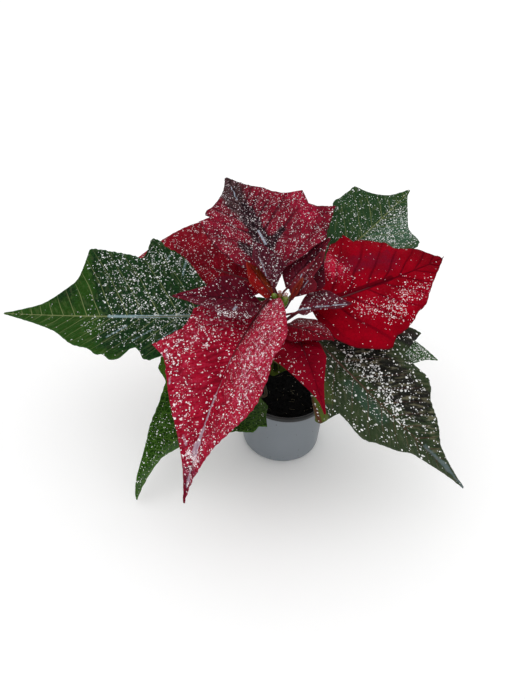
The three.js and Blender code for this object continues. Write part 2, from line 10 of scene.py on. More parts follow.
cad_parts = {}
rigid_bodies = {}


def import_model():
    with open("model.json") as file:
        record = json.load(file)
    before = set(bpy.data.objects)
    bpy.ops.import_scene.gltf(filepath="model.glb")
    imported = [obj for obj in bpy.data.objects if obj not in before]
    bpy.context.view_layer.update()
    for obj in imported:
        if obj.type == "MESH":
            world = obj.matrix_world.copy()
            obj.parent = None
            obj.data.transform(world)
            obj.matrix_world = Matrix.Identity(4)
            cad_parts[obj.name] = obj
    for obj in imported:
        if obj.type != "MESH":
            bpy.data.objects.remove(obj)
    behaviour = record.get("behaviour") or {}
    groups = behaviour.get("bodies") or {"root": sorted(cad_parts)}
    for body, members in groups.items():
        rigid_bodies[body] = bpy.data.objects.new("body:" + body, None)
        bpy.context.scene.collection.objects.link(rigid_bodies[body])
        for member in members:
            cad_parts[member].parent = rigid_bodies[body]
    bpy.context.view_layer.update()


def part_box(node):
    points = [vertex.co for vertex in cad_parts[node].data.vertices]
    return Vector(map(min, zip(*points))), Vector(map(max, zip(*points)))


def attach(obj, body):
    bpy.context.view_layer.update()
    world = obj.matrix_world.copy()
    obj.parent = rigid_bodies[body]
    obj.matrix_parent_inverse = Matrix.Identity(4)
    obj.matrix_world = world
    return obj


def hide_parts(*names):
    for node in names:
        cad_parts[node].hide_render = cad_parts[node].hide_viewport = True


print("loading the frame")
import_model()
mm = 0.001

mathNode, rampNode, mixNode = "ShaderNodeMath", "ShaderNodeMapRange", "ShaderNodeMixRGB"
noiseNode, cellNode, bumpNode = "ShaderNodeTexNoise", "ShaderNodeTexVoronoi", "ShaderNodeBump"
placeNode, layerNode, mapNode = "ShaderNodeTexCoord", "ShaderNodeAttribute", "ShaderNodeUVMap"


def linear(hexColour):
    values = [int(hexColour[i:i + 2], 16) / 255 for i in (1, 3, 5)]
    return [x / 12.92 if x <= 0.04045 else ((x + 0.055) / 1.055) ** 2.4 for x in values] + [1]


def addNode(tree, kind, settings=None, inputs=None):
    # An input is a value, another node's first output, or a socket
    node = tree.nodes.new(kind)
    for key, value in (settings or {}).items():
        setattr(node, key, value)
    for key, value in (inputs or {}).items():
        if isinstance(value, bpy.types.Node):
            value = value.outputs[0]
        if isinstance(value, bpy.types.NodeSocket):
            tree.links.new(value, node.inputs[key])
        else:
            node.inputs[key].default_value = value
    return node


def newMaterial(name):
    material = bpy.data.materials.new(name)
    material.use_nodes = True
    material.node_tree.nodes.clear()
    return material, material.node_tree


def finishMaterial(material, surface):
    # Surface holds a value or a node for each input of the shader
    shader = addNode(material.node_tree, "ShaderNodeBsdfPrincipled", inputs=surface)
    addNode(material.node_tree, "ShaderNodeOutputMaterial", inputs={"Surface": shader})
    return material


def scaleOf(size):
    # The scale of a pattern on Object coordinates whose grain is so many mm wide
    return 1 / (size * mm)


def newObject(name, data):
    obj = bpy.data.objects.new(name, data)
    bpy.context.collection.objects.link(obj)
    return obj


def deselectAll():
    for other in bpy.context.view_layer.objects:
        other.select_set(False)


def pick(obj):
    deselectAll()
    obj.select_set(True)
    bpy.context.view_layer.objects.active = obj


def joinAll(first, others):
    pick(first)
    for obj in others:
        obj.select_set(True)
    bpy.ops.object.join()


def applyModifier(obj, kind, **settings):
    pick(obj)
    modifier = obj.modifiers.new(kind.lower(), kind)
    for key, value in settings.items():
        setattr(modifier, key, value)
    bpy.ops.object.modifier_apply(modifier=modifier.name)


def softByAngle(obj, degrees):
    pick(obj)
    bpy.ops.object.shade_smooth_by_angle(angle=math.radians(degrees))


def cleanShell():
    bpy.ops.object.mode_set(mode="EDIT")
    bpy.ops.mesh.select_all(action="SELECT")
    bpy.ops.mesh.remove_doubles(threshold=1e-6)
    bpy.ops.mesh.normals_make_consistent(inside=False)
    bpy.ops.object.mode_set(mode="OBJECT")


def meshPoints(mesh):
    flat = np.zeros(len(mesh.vertices) * 3)
    mesh.vertices.foreach_get("co", flat)
    return flat.reshape(-1, 3)


def takeShape():
    # The points and faces of the primitive just added, for a shape that is repeated many times
    shape = bpy.context.object
    points = meshPoints(shape.data)
    faces = [list(face.vertices) for face in shape.data.polygons]
    bpy.data.objects.remove(shape)
    return points, faces


def repeated(name, points, faces):
    # One object of many copies of a shape: points hold a row of places in metres for each copy
    count, each = points.shape[:2]
    allFaces = [[i * each + k for k in face] for i in range(count) for face in faces]
    mesh = bpy.data.meshes.new(name)
    mesh.from_pydata(points.reshape(-1, 3).tolist(), [], allFaces)
    return newObject(name, mesh)


def wearSkins(obj, skins, number):
    # Every skin of the group, so that joining keeps their order, and one of them on each face
    obj.data.materials.clear()
    for skin in skins:
        obj.data.materials.append(skin)
    obj.data.polygons.foreach_set("material_index", [number] * len(obj.data.polygons))


def ontoRoot(obj, slot, *nodes):
    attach(obj, "root")
    if nodes:
        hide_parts(*nodes)


print("camera, floor and light")
view = dict(
    place=(-0.0195, -0.3320, 0.3458),
    lookDown=38,  # degrees below the horizon
    roll=4.5,
    lens=30, filmWidth=36,
    nearest=0.01, farthest=200,
    floorSize=60, floorColour="#FFFFFF",
)
cameraData = bpy.data.cameras.new("camera")
camera = newObject("camera", cameraData)
cameraData.lens = view["lens"]
cameraData.sensor_width = view["filmWidth"]
cameraData.clip_start = view["nearest"]
cameraData.clip_end = view["farthest"]
camera.matrix_world = (
    Matrix.Translation(view["place"])
    @ Matrix.Rotation(math.radians(90 - view["lookDown"]), 4, "X")
    @ Matrix.Rotation(math.radians(view["roll"]), 4, "Z")
)
bpy.context.scene.camera = camera
bpy.context.scene.view_settings.view_transform = "Standard"

deselectAll()
bpy.ops.mesh.primitive_plane_add(size=view["floorSize"], location=(0, 0, 0))
floor = bpy.context.object
floor.name = "floor"
# Matt white paper: nearly no sheen, so the ground stays even
floor.data.materials.append(finishMaterial(newMaterial("matt white paper")[0], {
    "Base Color": linear(view["floorColour"]), "Roughness": 0.9, "Specular IOR Level": 0.1}))

# Large soft boxes far off: the way to each, how wide it looks in degrees, its strength
studio = dict(sky=1, key=((-0.5, -0.45, 1), 50, 0.25), fill=((0.6, -0.2, 1), 60, 0.08))
world = bpy.data.worlds.new("studio")
bpy.context.scene.world = world
world.use_nodes = True
background = world.node_tree.nodes["Background"].inputs
background["Color"].default_value = (1, 1, 1, 1)
background["Strength"].default_value = studio["sky"]
for name in ("key", "fill"):
    towards, softness, strength = studio[name]
    lightData = bpy.data.lights.new(name, "SUN")
    lightData.angle = math.radians(softness)
    lightData.energy = strength
    light = newObject(name, lightData)
    light.matrix_world = Vector(towards).to_track_quat("Z", "Y").to_matrix().to_4x4()

print("leaves and bracts")
# What most leaves share, then each leaf or bract with what differs, in mm and degrees
# It leaves the stem at the height joint, passes via and reaches base, where the blade starts
# heading and pitch are its way there, and sway and droop how far it has turned and sunk at its tip
# roll tilts it; fold and curl lift its sides, which also go up and down by wave where they are half mm out
# left and right are its outline as (along, out), where a lobe or a notch is a sharp corner
# Strokes are (along, left, along, left, width, strength), from one place to another: of dust, dried glue,
# crinkles, tints, and sparkles (flakes on a square centimetre, beyond the leaf's own sparkle)
# fan spreads the side veins, crowding brings them closer together towards the tip (1 is even), stray lets
# them wander; dim below 1 makes the flakes brighter; hook is a dark end past the tip, as (reach, bend)
usual = dict(
    sway=0, roll=0, fold=10, curl=0, wave=0.4, waves=2, phase=0,
    netShow=0.3, edgeShow=0.35,
    veins=7, crowding=1.4, stray=0.9, lean=(0.6, 0.6), fan=0.3, bow=0.005, veinWidth=0.45, veinShow=0.75,
    veinReach=1.15, rib=1, quilt=0.3, crinkle=0.3, crinkles=[],
    # The wrinkle tone is painted shade in the hollows of the wrinkles, the ridge tone a painted highlight
    # on their crests
    wrinkleSize=2.4, wrinkleShadeShow=0.5, ridgeHighlightShow=0.2, rough=0.42, gloss=0.03,
    tints=[],
    dust=[],
    glueTone="#A9B4C4", glueShow=0.8, glue=[],
    dim=1, flake=1, sparkle=1, sparkles=[],
)
leaves = {
    "bract_front": dict(
        slot="bract_red", joint=118, via=(-13.4, -0.4, 133), base=(-15.7, -2.5, 135.6),
        length=141, half=45, heading=-121.3, pitch=-14.2, droop=38.8, sway=16.3, roll=13, fold=30, curl=-8,
        wave=1.2, waves=2.5, phase=0.1,
        left=[(0.6, 9.5, "lobe"), (3, 16.5), (15.5, 29.5), (23, 35.6), (32.5, 42.3), (42, 43.5, "lobe"),
              (50, 41), (57, 43), (77, 40), (93, 28), (103, 18), (115, 10), (128, 3)],
        right=[(7, 8), (13, 16), (19, 29), (28, 39, "lobe"), (40, 38), (46, 41), (59, 50, "lobe"),
               (64, 39), (73, 33), (88, 24), (103, 14), (117, 7), (129, 3)],
        colour="#A00525", blotch="#89031E", tip="#71051E", vein="#4E0616", net="#B02C46", netShow=0.12,
        edgeTone="#84102C",
        veins=14, stray=1.3, lean=(0.4, 0.4), fan=0.4, bow=0.003, veinWidth=0.6, veinShow=0.22, rib=0.8,
        quilt=0.7, crinkle=0.6,
        # Painted shade in its wrinkles and pink painted highlights on their ridges
        wrinkleSize=2.2, wrinkleShadeShow=0.75, ridgeHighlightShow=0.5, ridgeHighlightTone="#B8304E",
        tints=[("#560A1E", [(127, 0, 141, 0, 9, 1)])],
        dustTone="#C85E7A",
        dust=[(8, 14, 48, 34, 16, 0.85), (48, 22, 85, 32, 13, 0.7), (98, 10, 123, 5, 8, 0.4),
              (30, -22, 55, -38, 12, 0.4), (70, -20, 110, -10, 10, 0.25), (110, -3, 126, -2, 4, 0.4)],
        glueTone="#B8A4B6",
        glue=[(46, 0, 73, 1, 0.55, 0.75), (74, 1, 100, 1, 1.1, 1), (97, 1, 109, 0, 1.7, 0.9),
              (107, 0, 114, 1, 3.2, 0.75), (121, 0, 131, 0, 1.4, 0.7), (59, -40, 63, -37, 1.6, 0.5),
              (74, -30, 77, -29, 1.6, 0.5), (103, -10, 107, -7, 1.6, 0.5)],
        dim=0.64, flake=1.32, sparkle=10.5,
        sparkles=[(6, 12, 60, 34, 17, 10), (60, 26, 92, 24, 12, 6), (24, -16, 55, -38, 13, 16),
                  (112, -4, 114, 4, 2.4, 200), (58, -12, 70, -10, 7, -8), (77, -22, 97, -14, 8, 14),
                  (118, 0, 130, 0, 3, 26), (100, 0, 112, 0, 3, 22)],
    ),
    "bract_front_right": dict(
        slot="bract_red", joint=111, base=(1.9, -12, 119.7),
        length=66, half=18, heading=-73, pitch=-1, droop=30, fold=18, curl=-6, wave=0.6,
        left=[(6, 8), (16, 11), (30, 12, "lobe"), (42, 7), (52, 3.5)],
        right=[(5, 12), (12, 18), (19, 21), (26, 22.5, "lobe"), (33, 17.8), (44, 10.5), (54, 3.5),
               (60, 1.2)],
        colour="#810019", blotch="#6F0015", tip="#76081D", vein="#5A0418", net="#7C0018", netShow=0.2,
        veins=9, lean=(0.45, 0.45), bow=0.006, veinShow=0.4, quilt=0.35,
        dustTone="#A05068",
        sparkle=4, sparkles=[(14, -16, 50, -8, 3, 16)],
    ),
    "bract_right": dict(
        slot="bract_red", joint=116, base=(13.2, 3.1, 127.8),
        length=105.5, half=42, heading=14.3, pitch=14.3, droop=10.3, sway=20.7, roll=24, fold=-3, curl=-6,
        wave=1.2, waves=2.5, phase=0.6,
        left=[(3, 8), (8, 13), (15.5, 22), (26.5, 37), (36.5, 49, "lobe"), (43.5, 49), (50.5, 52, "lobe"),
              (53.5, 42, "notch"), (61.5, 40), (76.5, 31, "lobe"), (79.5, 23), (92.5, 16), (98.5, 9)],
        right=[(1, 9), (3, 14), (6, 20), (7.5, 26), (12, 31), (18.5, 37), (33.5, 44), (39.5, 44, "lobe"),
               (44.5, 38, "notch"), (53.5, 36, "lobe"), (59.5, 33), (64.5, 29), (72.5, 26), (82.5, 17),
               (91.5, 10), (100.5, 4)],
        colour="#960016", blotch="#7E0010", tip="#720311", vein="#500010", net="#740012",
        edgeTone="#4A0814", edgeShow=0.6,
        veins=8, crowding=1, stray=1.8, lean=(0.4, 0.45), fan=1.7, bow=0.002, veinWidth=1.2, veinShow=0.65,
        veinReach=1.6, rib=1.5, quilt=1.5,
        wrinkleShadeShow=0.3, gloss=0.015, stalk="#560814", hook=(3.4, 1.2),
        # The dark red line along the midrib is painted shade in its fold
        tints=[("#5C000E", [(8, 1.5, 60, 1, 2.2, 0.9)]), ("#740A22", [(24, 26, 66, 16, 14, 0.5)]),
               # The bright red stroke on the left fold is a painted highlight
               ("#C01434", [(22, 50, 28, 24, 8, 0.75)])],
        dustTone="#CC3C5A", dust=[(24, 50, 28, 20, 8, 0.8), (34, -14, 78, -16, 7, 0.35)],
        dim=0.8,
        sparkles=[(18, 54, 36, 47, 2.5, 60), (25, 52, 30, 15, 8, 16), (30, -12, 52, -22, 5, 50),
                  (52, -22, 66, -10, 6, 44), (52, -24, 58, -31, 5, 40), (66, -14, 80, -14, 6, 30)],
    ),
    "bract_back": dict(
        slot="bract_veined", joint=123, via=(-12.5, 7, 135), base=(-11.8, 14, 145.6),
        length=91, half=42, heading=113, pitch=31, droop=15, sway=8, roll=-10, fold=20, curl=-12, wave=1.2,
        waves=2.5, phase=0.2,
        left=[(3, 10), (8, 19), (16, 26), (28, 32.5), (39, 35), (48.5, 35.7), (53.7, 36.5, "lobe"),
              (55, 28, "notch"), (57.5, 30.3), (60.5, 28.5, "lobe"), (65, 20.5), (76.5, 9.3)],
        right=[(3, 12), (6, 25, "lobe"), (9, 30), (13, 41), (20, 46), (34, 58, "lobe"), (37, 46),
               (41, 41, "notch"), (54, 43, "lobe"), (56, 30), (62, 22), (67, 18), (75, 10)],
        colour="#880F28", blotch="#6C0B1F", tip="#412A27", vein="#180C12", net="#3E0C1A", netShow=0.4,
        edgeTone="#2A1016", edgeShow=0.7,
        veins=9, lean=(0.4, 0.4), fan=0.8, bow=0.003, veinWidth=1.3, veinShow=0.8, quilt=1.3, crinkle=0.6,
        wrinkleShadeShow=0.6,
        tints=[("#1A1216",
                [(14, 0, 72, 2, 4.5, 1), (18, 0, 52, 1, 9, 0.5), (21, -3, 29, -16, 2.4, 0.9),
                 (13, 7, 26, 16, 4, 0.8)]),
               ("#9A1432", [(34, -38, 56, -36, 9, 0.7), (38, 22, 54, 24, 7, 0.4)]),
               ("#40302F", [(70, 2, 91, 0, 8, 0.9), (56, 10, 70, 8, 6, 0.6)])],
        dustTone="#9A6474", dust=[(10, 0, 85, 0, 40, 0.2)],
        glue=[(24, -2, 36, -1, 1.1, 0.8), (66, 3, 80, 1, 0.6, 0.7)],
        dim=1.2, flake=0.85, sparkle=30,
        sparkles=[(70, 4, 91, 0, 9, -26), (10, 10, 76, 8, 12, 10), (50, -12, 84, -6, 10, 8),
                  (4, 0, 20, 4, 8, 30)],
    ),
    "bract_back_left": dict(
        slot="bract_red", joint=113, base=(-17.5, 26.7, 127),
        length=119, half=36, heading=155, pitch=11, droop=32, roll=-26, fold=14, curl=-12, wave=1,
        waves=2.5, phase=0.5,
        left=[(3, 8), (8, 14), (14, 18), (24, 25), (35, 29), (48, 29), (62, 26), (78, 20), (92, 12),
              (106, 5)],
        right=[(3, 4), (14, 9), (24, 12), (41, 18), (56, 28), (72, 37, "lobe"), (80, 30), (95, 17),
               (104, 9), (112, 3)],
        colour="#850218", blotch="#6A0214", tip="#910420", vein="#4A0410", net="#5C0414", netShow=0.25,
        veins=10, lean=(0.4, 0.4), fan=0.5, bow=0.003, veinShow=0.4, quilt=0.6, crinkle=0.4,
        dustTone="#B05068", dust=[(60, 0, 110, 0, 30, 0.12)],
        dim=0.8, sparkle=20,
    ),
    "inner_bract_left": dict(
        slot="bract_purple", joint=128, via=(-13.8, -3.1, 138.5), base=(-21.1, -9, 137.9),
        length=56, half=22, heading=-175, pitch=14, droop=15, roll=-10, fold=12, wave=0.5, phase=0.3,
        left=[(2, 10), (8, 20), (14, 22), (25, 24), (30, 16), (40, 10), (47, 5.5)],
        right=[(4, 6), (10, 14), (16, 18, "lobe"), (25, 17), (30, 14), (34, 9), (45, 4.5)],
        colour="#59091D", blotch="#4A0617", tip="#610B24", vein="#2C0612", net="#661226",
        veins=9, quilt=0.4, crinkle=0.5,
        dustTone="#7A4658", dust=[(14, 16, 42, 12, 8, 0.45)],
        glue=[(16, 10, 18, 14, 1.5, 0.6)],
        dim=0.7, flake=1.1, sparkle=11, sparkles=[(10, 20, 44, 16, 3.5, 90)],
    ),
    "inner_bract_back": dict(
        slot="bract_purple", joint=128.5, base=(-3.5, 9, 138.9),
        length=46, half=17, heading=44, pitch=36, droop=10, wave=0.5, phase=0.1,
        left=[(5, 8), (10, 14), (15, 17), (23, 17), (35, 8)],
        right=[(3.5, 8), (6, 18), (8.5, 24), (13, 25), (19, 20), (27, 12), (36, 5)],
        colour="#540C1C", blotch="#3E0A16", tip="#6C1424", vein="#260610", net="#581222",
        veins=8, crinkle=0.4,
        dustTone="#7A5060", dust=[(10, 0, 34, 4, 12, 0.15)],
        sparkle=6,
    ),
    "inner_bract_back_left": dict(
        slot="bract_purple", joint=126, via=(-9.8, 4.2, 135), base=(-11.7, 3, 142.4),
        length=32, half=14, heading=140, pitch=60, droop=10, phase=0.4,
        left=[(6, 3), (18, 8), (24, 9), (28, 5)],
        right=[(3, 5), (6, 9), (12, 14), (24, 8)],
        colour="#4A1020", blotch="#3C0C1A", tip="#521424", vein="#2C0814", net="#6A1C2C",
        dustTone="#8A6472", dust=[(2, 0, 30, 0, 12, 0.3)],
        glue=[(10, 4, 22, 3, 1, 0.6)],
        dim=0.7, sparkle=26,
    ),
    "inner_bract_back_right": dict(
        slot="bract_purple", joint=128, base=(0.3, 0, 138.5),
        length=38, half=14, heading=35, pitch=55, droop=10, phase=0.2,
        left=[(2, 5), (10, 6), (16, 5), (26, 2)],
        right=[(3, 6), (8, 12), (12, 16), (16, 13, "notch"), (18, 7), (27, 6.5), (33, 3)],
        colour="#661622", blotch="#52101C", tip="#5A1420", vein="#340812", net="#7A1C2A",
        dustTone="#94606C", dust=[(4, 0, 16, 2, 8, 0.35)],
        glue=[(9, -5, 14, -5, 1.1, 0.6), (12, 2, 15, 3, 1, 0.5)],
        sparkle=9,
    ),
    "inner_bract_right": dict(
        slot="bract_purple", joint=124, base=(3.6, -12, 134.1),
        length=35, half=14, heading=5, pitch=15, droop=10, phase=0.6,
        left=[(3, 7), (8, 14), (13, 16), (17, 16), (22, 14), (25, 11), (32, 3)],
        right=[(4, 6), (10, 3), (17, 2), (24, 5), (29, 4)],
        colour="#601826", blotch="#50101C", tip="#4E1422", vein="#300A16", net="#602030",
        dustTone="#7E5464", dust=[(4, 8, 30, 6, 12, 0.4)],
        glue=[(1, 2, 8, 1, 0.9, 0.8), (12, 1, 20, 0, 0.9, 0.9), (23, 0, 31, -1, 0.9, 0.9)],
        dim=0.6, flake=1.15, sparkle=14, sparkles=[(14, 10, 20, 10, 4, 10)],
    ),
    "inner_bract_front_right": dict(
        slot="bract_purple", joint=120, base=(-3.4, -14.2, 124.9),
        length=34, half=13, heading=-28, pitch=11, droop=20, fold=-10, phase=0.1,
        left=[(1, 12), (4, 16), (11, 16.5), (19, 15), (25, 11), (30, 5.5)],
        right=[(2, 9), (7, 13), (15, 11), (24, 6), (30, 1.5)],
        colour="#7D0218", blotch="#690213", tip="#750216", vein="#3A0812", net="#6C1024",
        dustTone="#8A5464", dust=[(2, 8, 28, 10, 6, 0.55)],
        sparkle=10, sparkles=[(4, 12, 26, 10, 5, 26)],
    ),
    "small_bract_left": dict(
        slot="bract_orange", joint=129.5, via=(-11.2, 0.2, 134.3), base=(-13.5, -1, 139.5),
        length=27, half=12, heading=158, pitch=47, droop=0, wave=0.3,
        left=[(2, 9), (6, 11), (10, 13), (16, 13.5), (21, 9)],
        right=[(2, 3), (8, 7), (14, 9), (18, 7), (22, 3)],
        colour="#8C0810", blotch="#72060C", tip="#8E1C14", vein="#4A0E10", net="#8A2C20",
        veins=6, lean=(1.4, 1.4), bow=0, quilt=0.4, crinkle=0.2,
        wrinkleShadeShow=0.7, gloss=0.015,
        tints=[("#742A12", [(4, -2, 24, -4, 4, 0.7)])],
        dustTone="#A07060", dust=[(5, 0, 25, 0, 10, 0.08)],
        sparkle=4,
    ),
    "small_bract_right": dict(
        slot="bract_orange", joint=129, via=(-3.3, -2.3, 135.2), base=(-0.9, -3.4, 138.2),
        length=16, half=4, heading=31, pitch=60, droop=0, wave=0.2,
        left=[(3, 2), (6, 3), (11, 2)],
        right=[(3, 2), (6, 3), (12, 2.5)],
        colour="#6E1E1A", blotch="#5E1614", tip="#8A4030", vein="#5A1410", net="#8A3424",
        veins=5, lean=(1.4, 1.4), bow=0, quilt=0.1, crinkle=0.1,
        dustTone="#A07060",
        sparkle=3,
    ),
    "leaf_left": dict(
        slot="leaf_green", joint=104, base=(-40.1, 4, 118.9),
        length=163, half=45, heading=187, pitch=0, droop=8, sway=-20, roll=-22, fold=13, curl=-6, wave=1.2,
        waves=3, phase=0.3,
        left=[(6, 12), (18, 22), (32, 29), (45, 34), (51.5, 36.5), (55.5, 35.5), (58.3, 30.3), (61.6, 27),
              (64.6, 27.7), (67.2, 31.2), (70, 35), (74.4, 36.7), (78, 35.3), (81.3, 32.6), (85.2, 33),
              (92, 28.2), (101, 26), (109, 21), (118, 14.5), (132, 9), (147, 4.5)],
        right=[(6, 12), (16, 22.6), (21, 29.2), (29.2, 41.9), (38, 50.2), (46.7, 54.3), (53.5, 60.7),
               (58.4, 63), (61, 62, "lobe"), (62, 55), (63.5, 49), (67, 46.8), (79, 51.5), (103.5, 53.6),
               (108.6, 53, "lobe"), (109.4, 40), (112, 28.4), (118.7, 20.8), (133, 9.5), (147, 4.5)],
        colour="#102813", blotch="#0C200E", tip="#173507", vein="#8C9464", net="#305A28",
        veins=16, lean=(0.8, 0.4), fan=0.1, bow=0.004, veinWidth=0.34, veinShow=0.65, veinReach=1.4,
        rib=1.1, quilt=0.5,
        wrinkleShadeShow=0.3, stalk="#76866A",
        tints=[("#23400F",
                [(104, 10, 160, 0, 20, 0.9), (60, 36, 104, 30, 7, 0.5), (104, -20, 112, -48, 8, 0.6)])],
        dustTone="#4E6A64", dust=[(20, 0, 70, -8, 20, 0.08)],
        glueTone="#8FA9B2",
        glue=[(28, 0, 84, 0, 1.3, 1), (52, 12, 64, 22, 1.2, 0.46), (70, 9, 81, 19, 1.4, 0.5),
              (32, -46, 34, -32, 1.8, 0.5), (44, -48, 46, -44, 1.6, 0.5), (36, 12, 48, 22, 1.1, 0.44)],
        dim=0.6, flake=1.15, sparkle=0.3,
        sparkles=[(20, 0, 70, -12, 16, 33), (14, -30, 50, -46, 10, 42), (60, -30, 90, -30, 8, 22),
                  (68, -48, 94, -42, 8, 24), (50, 18, 92, 10, 8, 20)],
    ),
    "leaf_back_right": dict(
        slot="leaf_green", joint=124.5, via=(-1, 12, 129.5), base=(26.1, 58, 127.1),
        length=99, half=40, heading=30, pitch=30, droop=15, sway=24, roll=14, fold=16, curl=-10, wave=1,
        waves=2.5,
        left=[(4, 12), (14, 21), (30, 26), (44, 36), (52, 36), (69, 34, "lobe"), (71, 24), (75, 16),
              (83, 8)],
        right=[(5, 17), (16, 24), (28, 28), (40, 34), (52, 38), (57.5, 37, "lobe"), (59.2, 33), (60.6, 27),
               (64.2, 21.3), (76.8, 11.7), (90.4, 3)],
        colour="#253F24", blotch="#1C331A", tip="#253F1A", vein="#7C8452", net="#30502E", netShow=0.25,
        veins=8, lean=(0.7, 0.7), bow=0.002, veinWidth=0.35, quilt=0.6,
        tints=[("#34503C", [(20, -16, 60, -22, 16, 0.8)])],
        dustTone="#66806F", dust=[(20, -16, 66, -20, 18, 0.45)],
        dim=0.6, sparkle=13, sparkles=[(20, -18, 66, -18, 16, 60)],
    ),
    "leaf_front_right": dict(
        slot="leaf_bronze", joint=93, base=(19.1, 6, 98.6),
        length=141, half=45, heading=-54, pitch=-8, droop=30, sway=28, roll=4, fold=14, curl=-6, wave=1.4,
        waves=3, phase=0.2,
        left=[(2, 10), (8, 24), (14, 42), (21, 55), (34, 60), (44, 66, "lobe"), (46, 56),
              (49, 42, "notch"), (61, 42), (74, 41), (82, 35), (87, 29), (101, 21), (112, 10), (128, 3.5)],
        right=[(5, 12), (16, 22), (34, 37), (45.3, 47.5), (49.5, 50.8), (51.7, 50.2), (52.4, 46),
               (52.8, 38), (53.6, 33.5, "notch"), (60, 33), (72, 34), (81, 28), (92, 21), (99, 14),
               (109, 10), (128, 3.5)],
        colour="#2B3A1D", blotch="#23311A", tip="#2D3B22", vein="#6A4038", net="#3C4834", netShow=0.15,
        veins=12, bow=0.002, veinWidth=0.4, veinShow=0.5, rib=0.7, quilt=0.8, crinkle=0.2,
        crinkles=[(20, 20, 110, 16, 13, 0.9)],
        # Near-black painted shade in its wrinkles and olive painted highlights on their ridges
        wrinkleSize=3, wrinkleShadeShow=0.8, wrinkleShadeTone="#0A0906", ridgeHighlightShow=0.75, ridgeHighlightTone="#6A6650",
        rough=0.26, gloss=0.1, stalk="#5E3E34",
        tints=[("#26402E", [(44, -8, 70, -10, 7, 0.8)]), ("#3C4A1C", [(22, -22, 40, -32, 8, 0.8)]),
               ("#15120E", [(4, 18, 78, 20, 14, 1), (30, 50, 50, 58, 8, 0.9)]),
               ("#4C5A1C", [(40, -44, 51, -50, 7, 0.9)]), ("#58301E", [(36, -40, 52, -50, 1.6, 0.8)])],
        dustTone="#6A7266", dust=[(20, 8, 90, 12, 14, 0.12)],
        glueTone="#66777C", glueShow=0.6,
        glue=[(104, 0.5, 124, 1.5, 2.6, 0.6), (120, 1, 141, 0, 1.8, 0.6)],
        dim=0.4, flake=1.6, sparkle=7.5,
        sparkles=[(24, 11, 44, 11, 7, 22), (54, 11, 68, 5, 7, 34), (74, 3, 84, 2, 5, 22),
                  (6, -1, 36, -3, 3, 12), (110, 0, 140, 0, 10, -6)],
    ),
    "leaf_front_left": dict(
        slot="leaf_green", joint=66, base=(-19.8, -11.1, 58.7),
        length=122.6, half=42, heading=-149.5, pitch=14, droop=81, sway=8.5, fold=14, curl=-4, wave=1,
        waves=2.5, phase=0.4,
        left=[(2.3, 16, "lobe"), (9.7, 26), (16, 37.6, "lobe"), (20.5, 35, "notch"), (26.5, 38.3, "lobe"),
              (32, 33), (36.6, 28), (53.6, 20), (63.6, 12.5), (69.6, 8.5), (77.6, 4.5), (85.6, 1.5),
              (97.6, 1), (111.6, 0.8)],
        right=[(4, 6), (13.6, 13), (25.6, 28), (36, 48), (43, 63.5), (46.5, 61), (49.8, 57.5, "lobe"),
               (50.6, 45), (52.5, 41.5), (57, 37.5), (64.4, 31), (76, 23.4), (86, 16), (96.7, 11),
               (109, 7), (117, 4)],
        colour="#173406", blotch="#122B05", tip="#22450F", vein="#4E6C2C", net="#486C26", netShow=0.55,
        veins=11, lean=(0.5, 0.5), bow=0.002, veinWidth=0.35, quilt=0.45,
        # The stalk's dark colour is painted shade: a green stalk darkened where it lies in shadow
        stalk="#1E2610",
        tints=[("#33482E", [(72, 6, 112, 2, 8, 0.8)]), ("#3A5E14", [(36, -56, 52, -50, 14, 0.8)])],
        dustTone="#60785E", dust=[(78, 4, 108, 2, 6, 0.25)],
        dim=0.7, sparkles=[(72, -18, 86, -6, 7, 26), (92, -8, 110, -5, 3, 16), (14, 20, 40, 22, 14, 1)],
    ),
    "leaf_right": dict(
        slot="leaf_green", joint=84, base=(38.4, 22, 89.2),
        length=72, half=22, heading=-13, pitch=6, droop=20, fold=6, wave=0.6, phase=0.2,
        left=[(5, 11), (16, 21), (31, 24), (45, 18), (53, 13), (62, 7.5)],
        right=[(5, 12), (14, 22), (25, 26), (36, 25), (45, 22), (56, 13, "lobe"), (61, 7), (66, 3)],
        colour="#2C4A22", blotch="#243E1C", tip="#2C4A22", vein="#466A3A", net="#345428",
        veins=9, lean=(0.7, 0.7), bow=0.003, quilt=0.45,
        dustTone="#6A8468", dust=[(10, 0, 66, 0, 20, 0.5)],
        dim=0.35, flake=1.25, sparkle=52,
    ),
    "leaf_young": dict(
        slot="leaf_green", joint=117, base=(-12.9, 8, 119.6),
        length=15, half=8, heading=152, pitch=29, droop=0, fold=8, wave=0.2, waves=1,
        left=[(3, 6), (7, 9), (12, 6)],
        right=[(3, 4), (7, 7), (12, 4)],
        colour="#1E3A18", blotch="#183012", tip="#2A4A20", vein="#4A6A30", net="#2A4A20",
        veins=5, lean=(0.7, 0.7), bow=0, quilt=0.2, crinkle=0.1,
        dustTone="#6A8468",
    ),
    "leaf_low": dict(
        slot="leaf_olive", joint=77, base=(-10.7, 4, 80.2),
        length=13, half=7, heading=-35, pitch=-5, droop=10, fold=-12, curl=-14, wave=0.2, waves=1,
        left=[(2, 4), (5, 6), (10, 4.5)],
        right=[(2, 6), (4, 10), (8, 9.5), (11, 4)],
        colour="#3C4A18", blotch="#303C14", tip="#3C4A18", vein="#4A5A24", net="#3C4A18", netShow=0.2,
        veins=4, lean=(0.7, 0.7), bow=0, quilt=0.2, crinkle=0.2,
        tints=[("#121608", [(2, -3, 6, -4, 3, 0.9)])],
        dustTone="#6A8468",
    ),
}

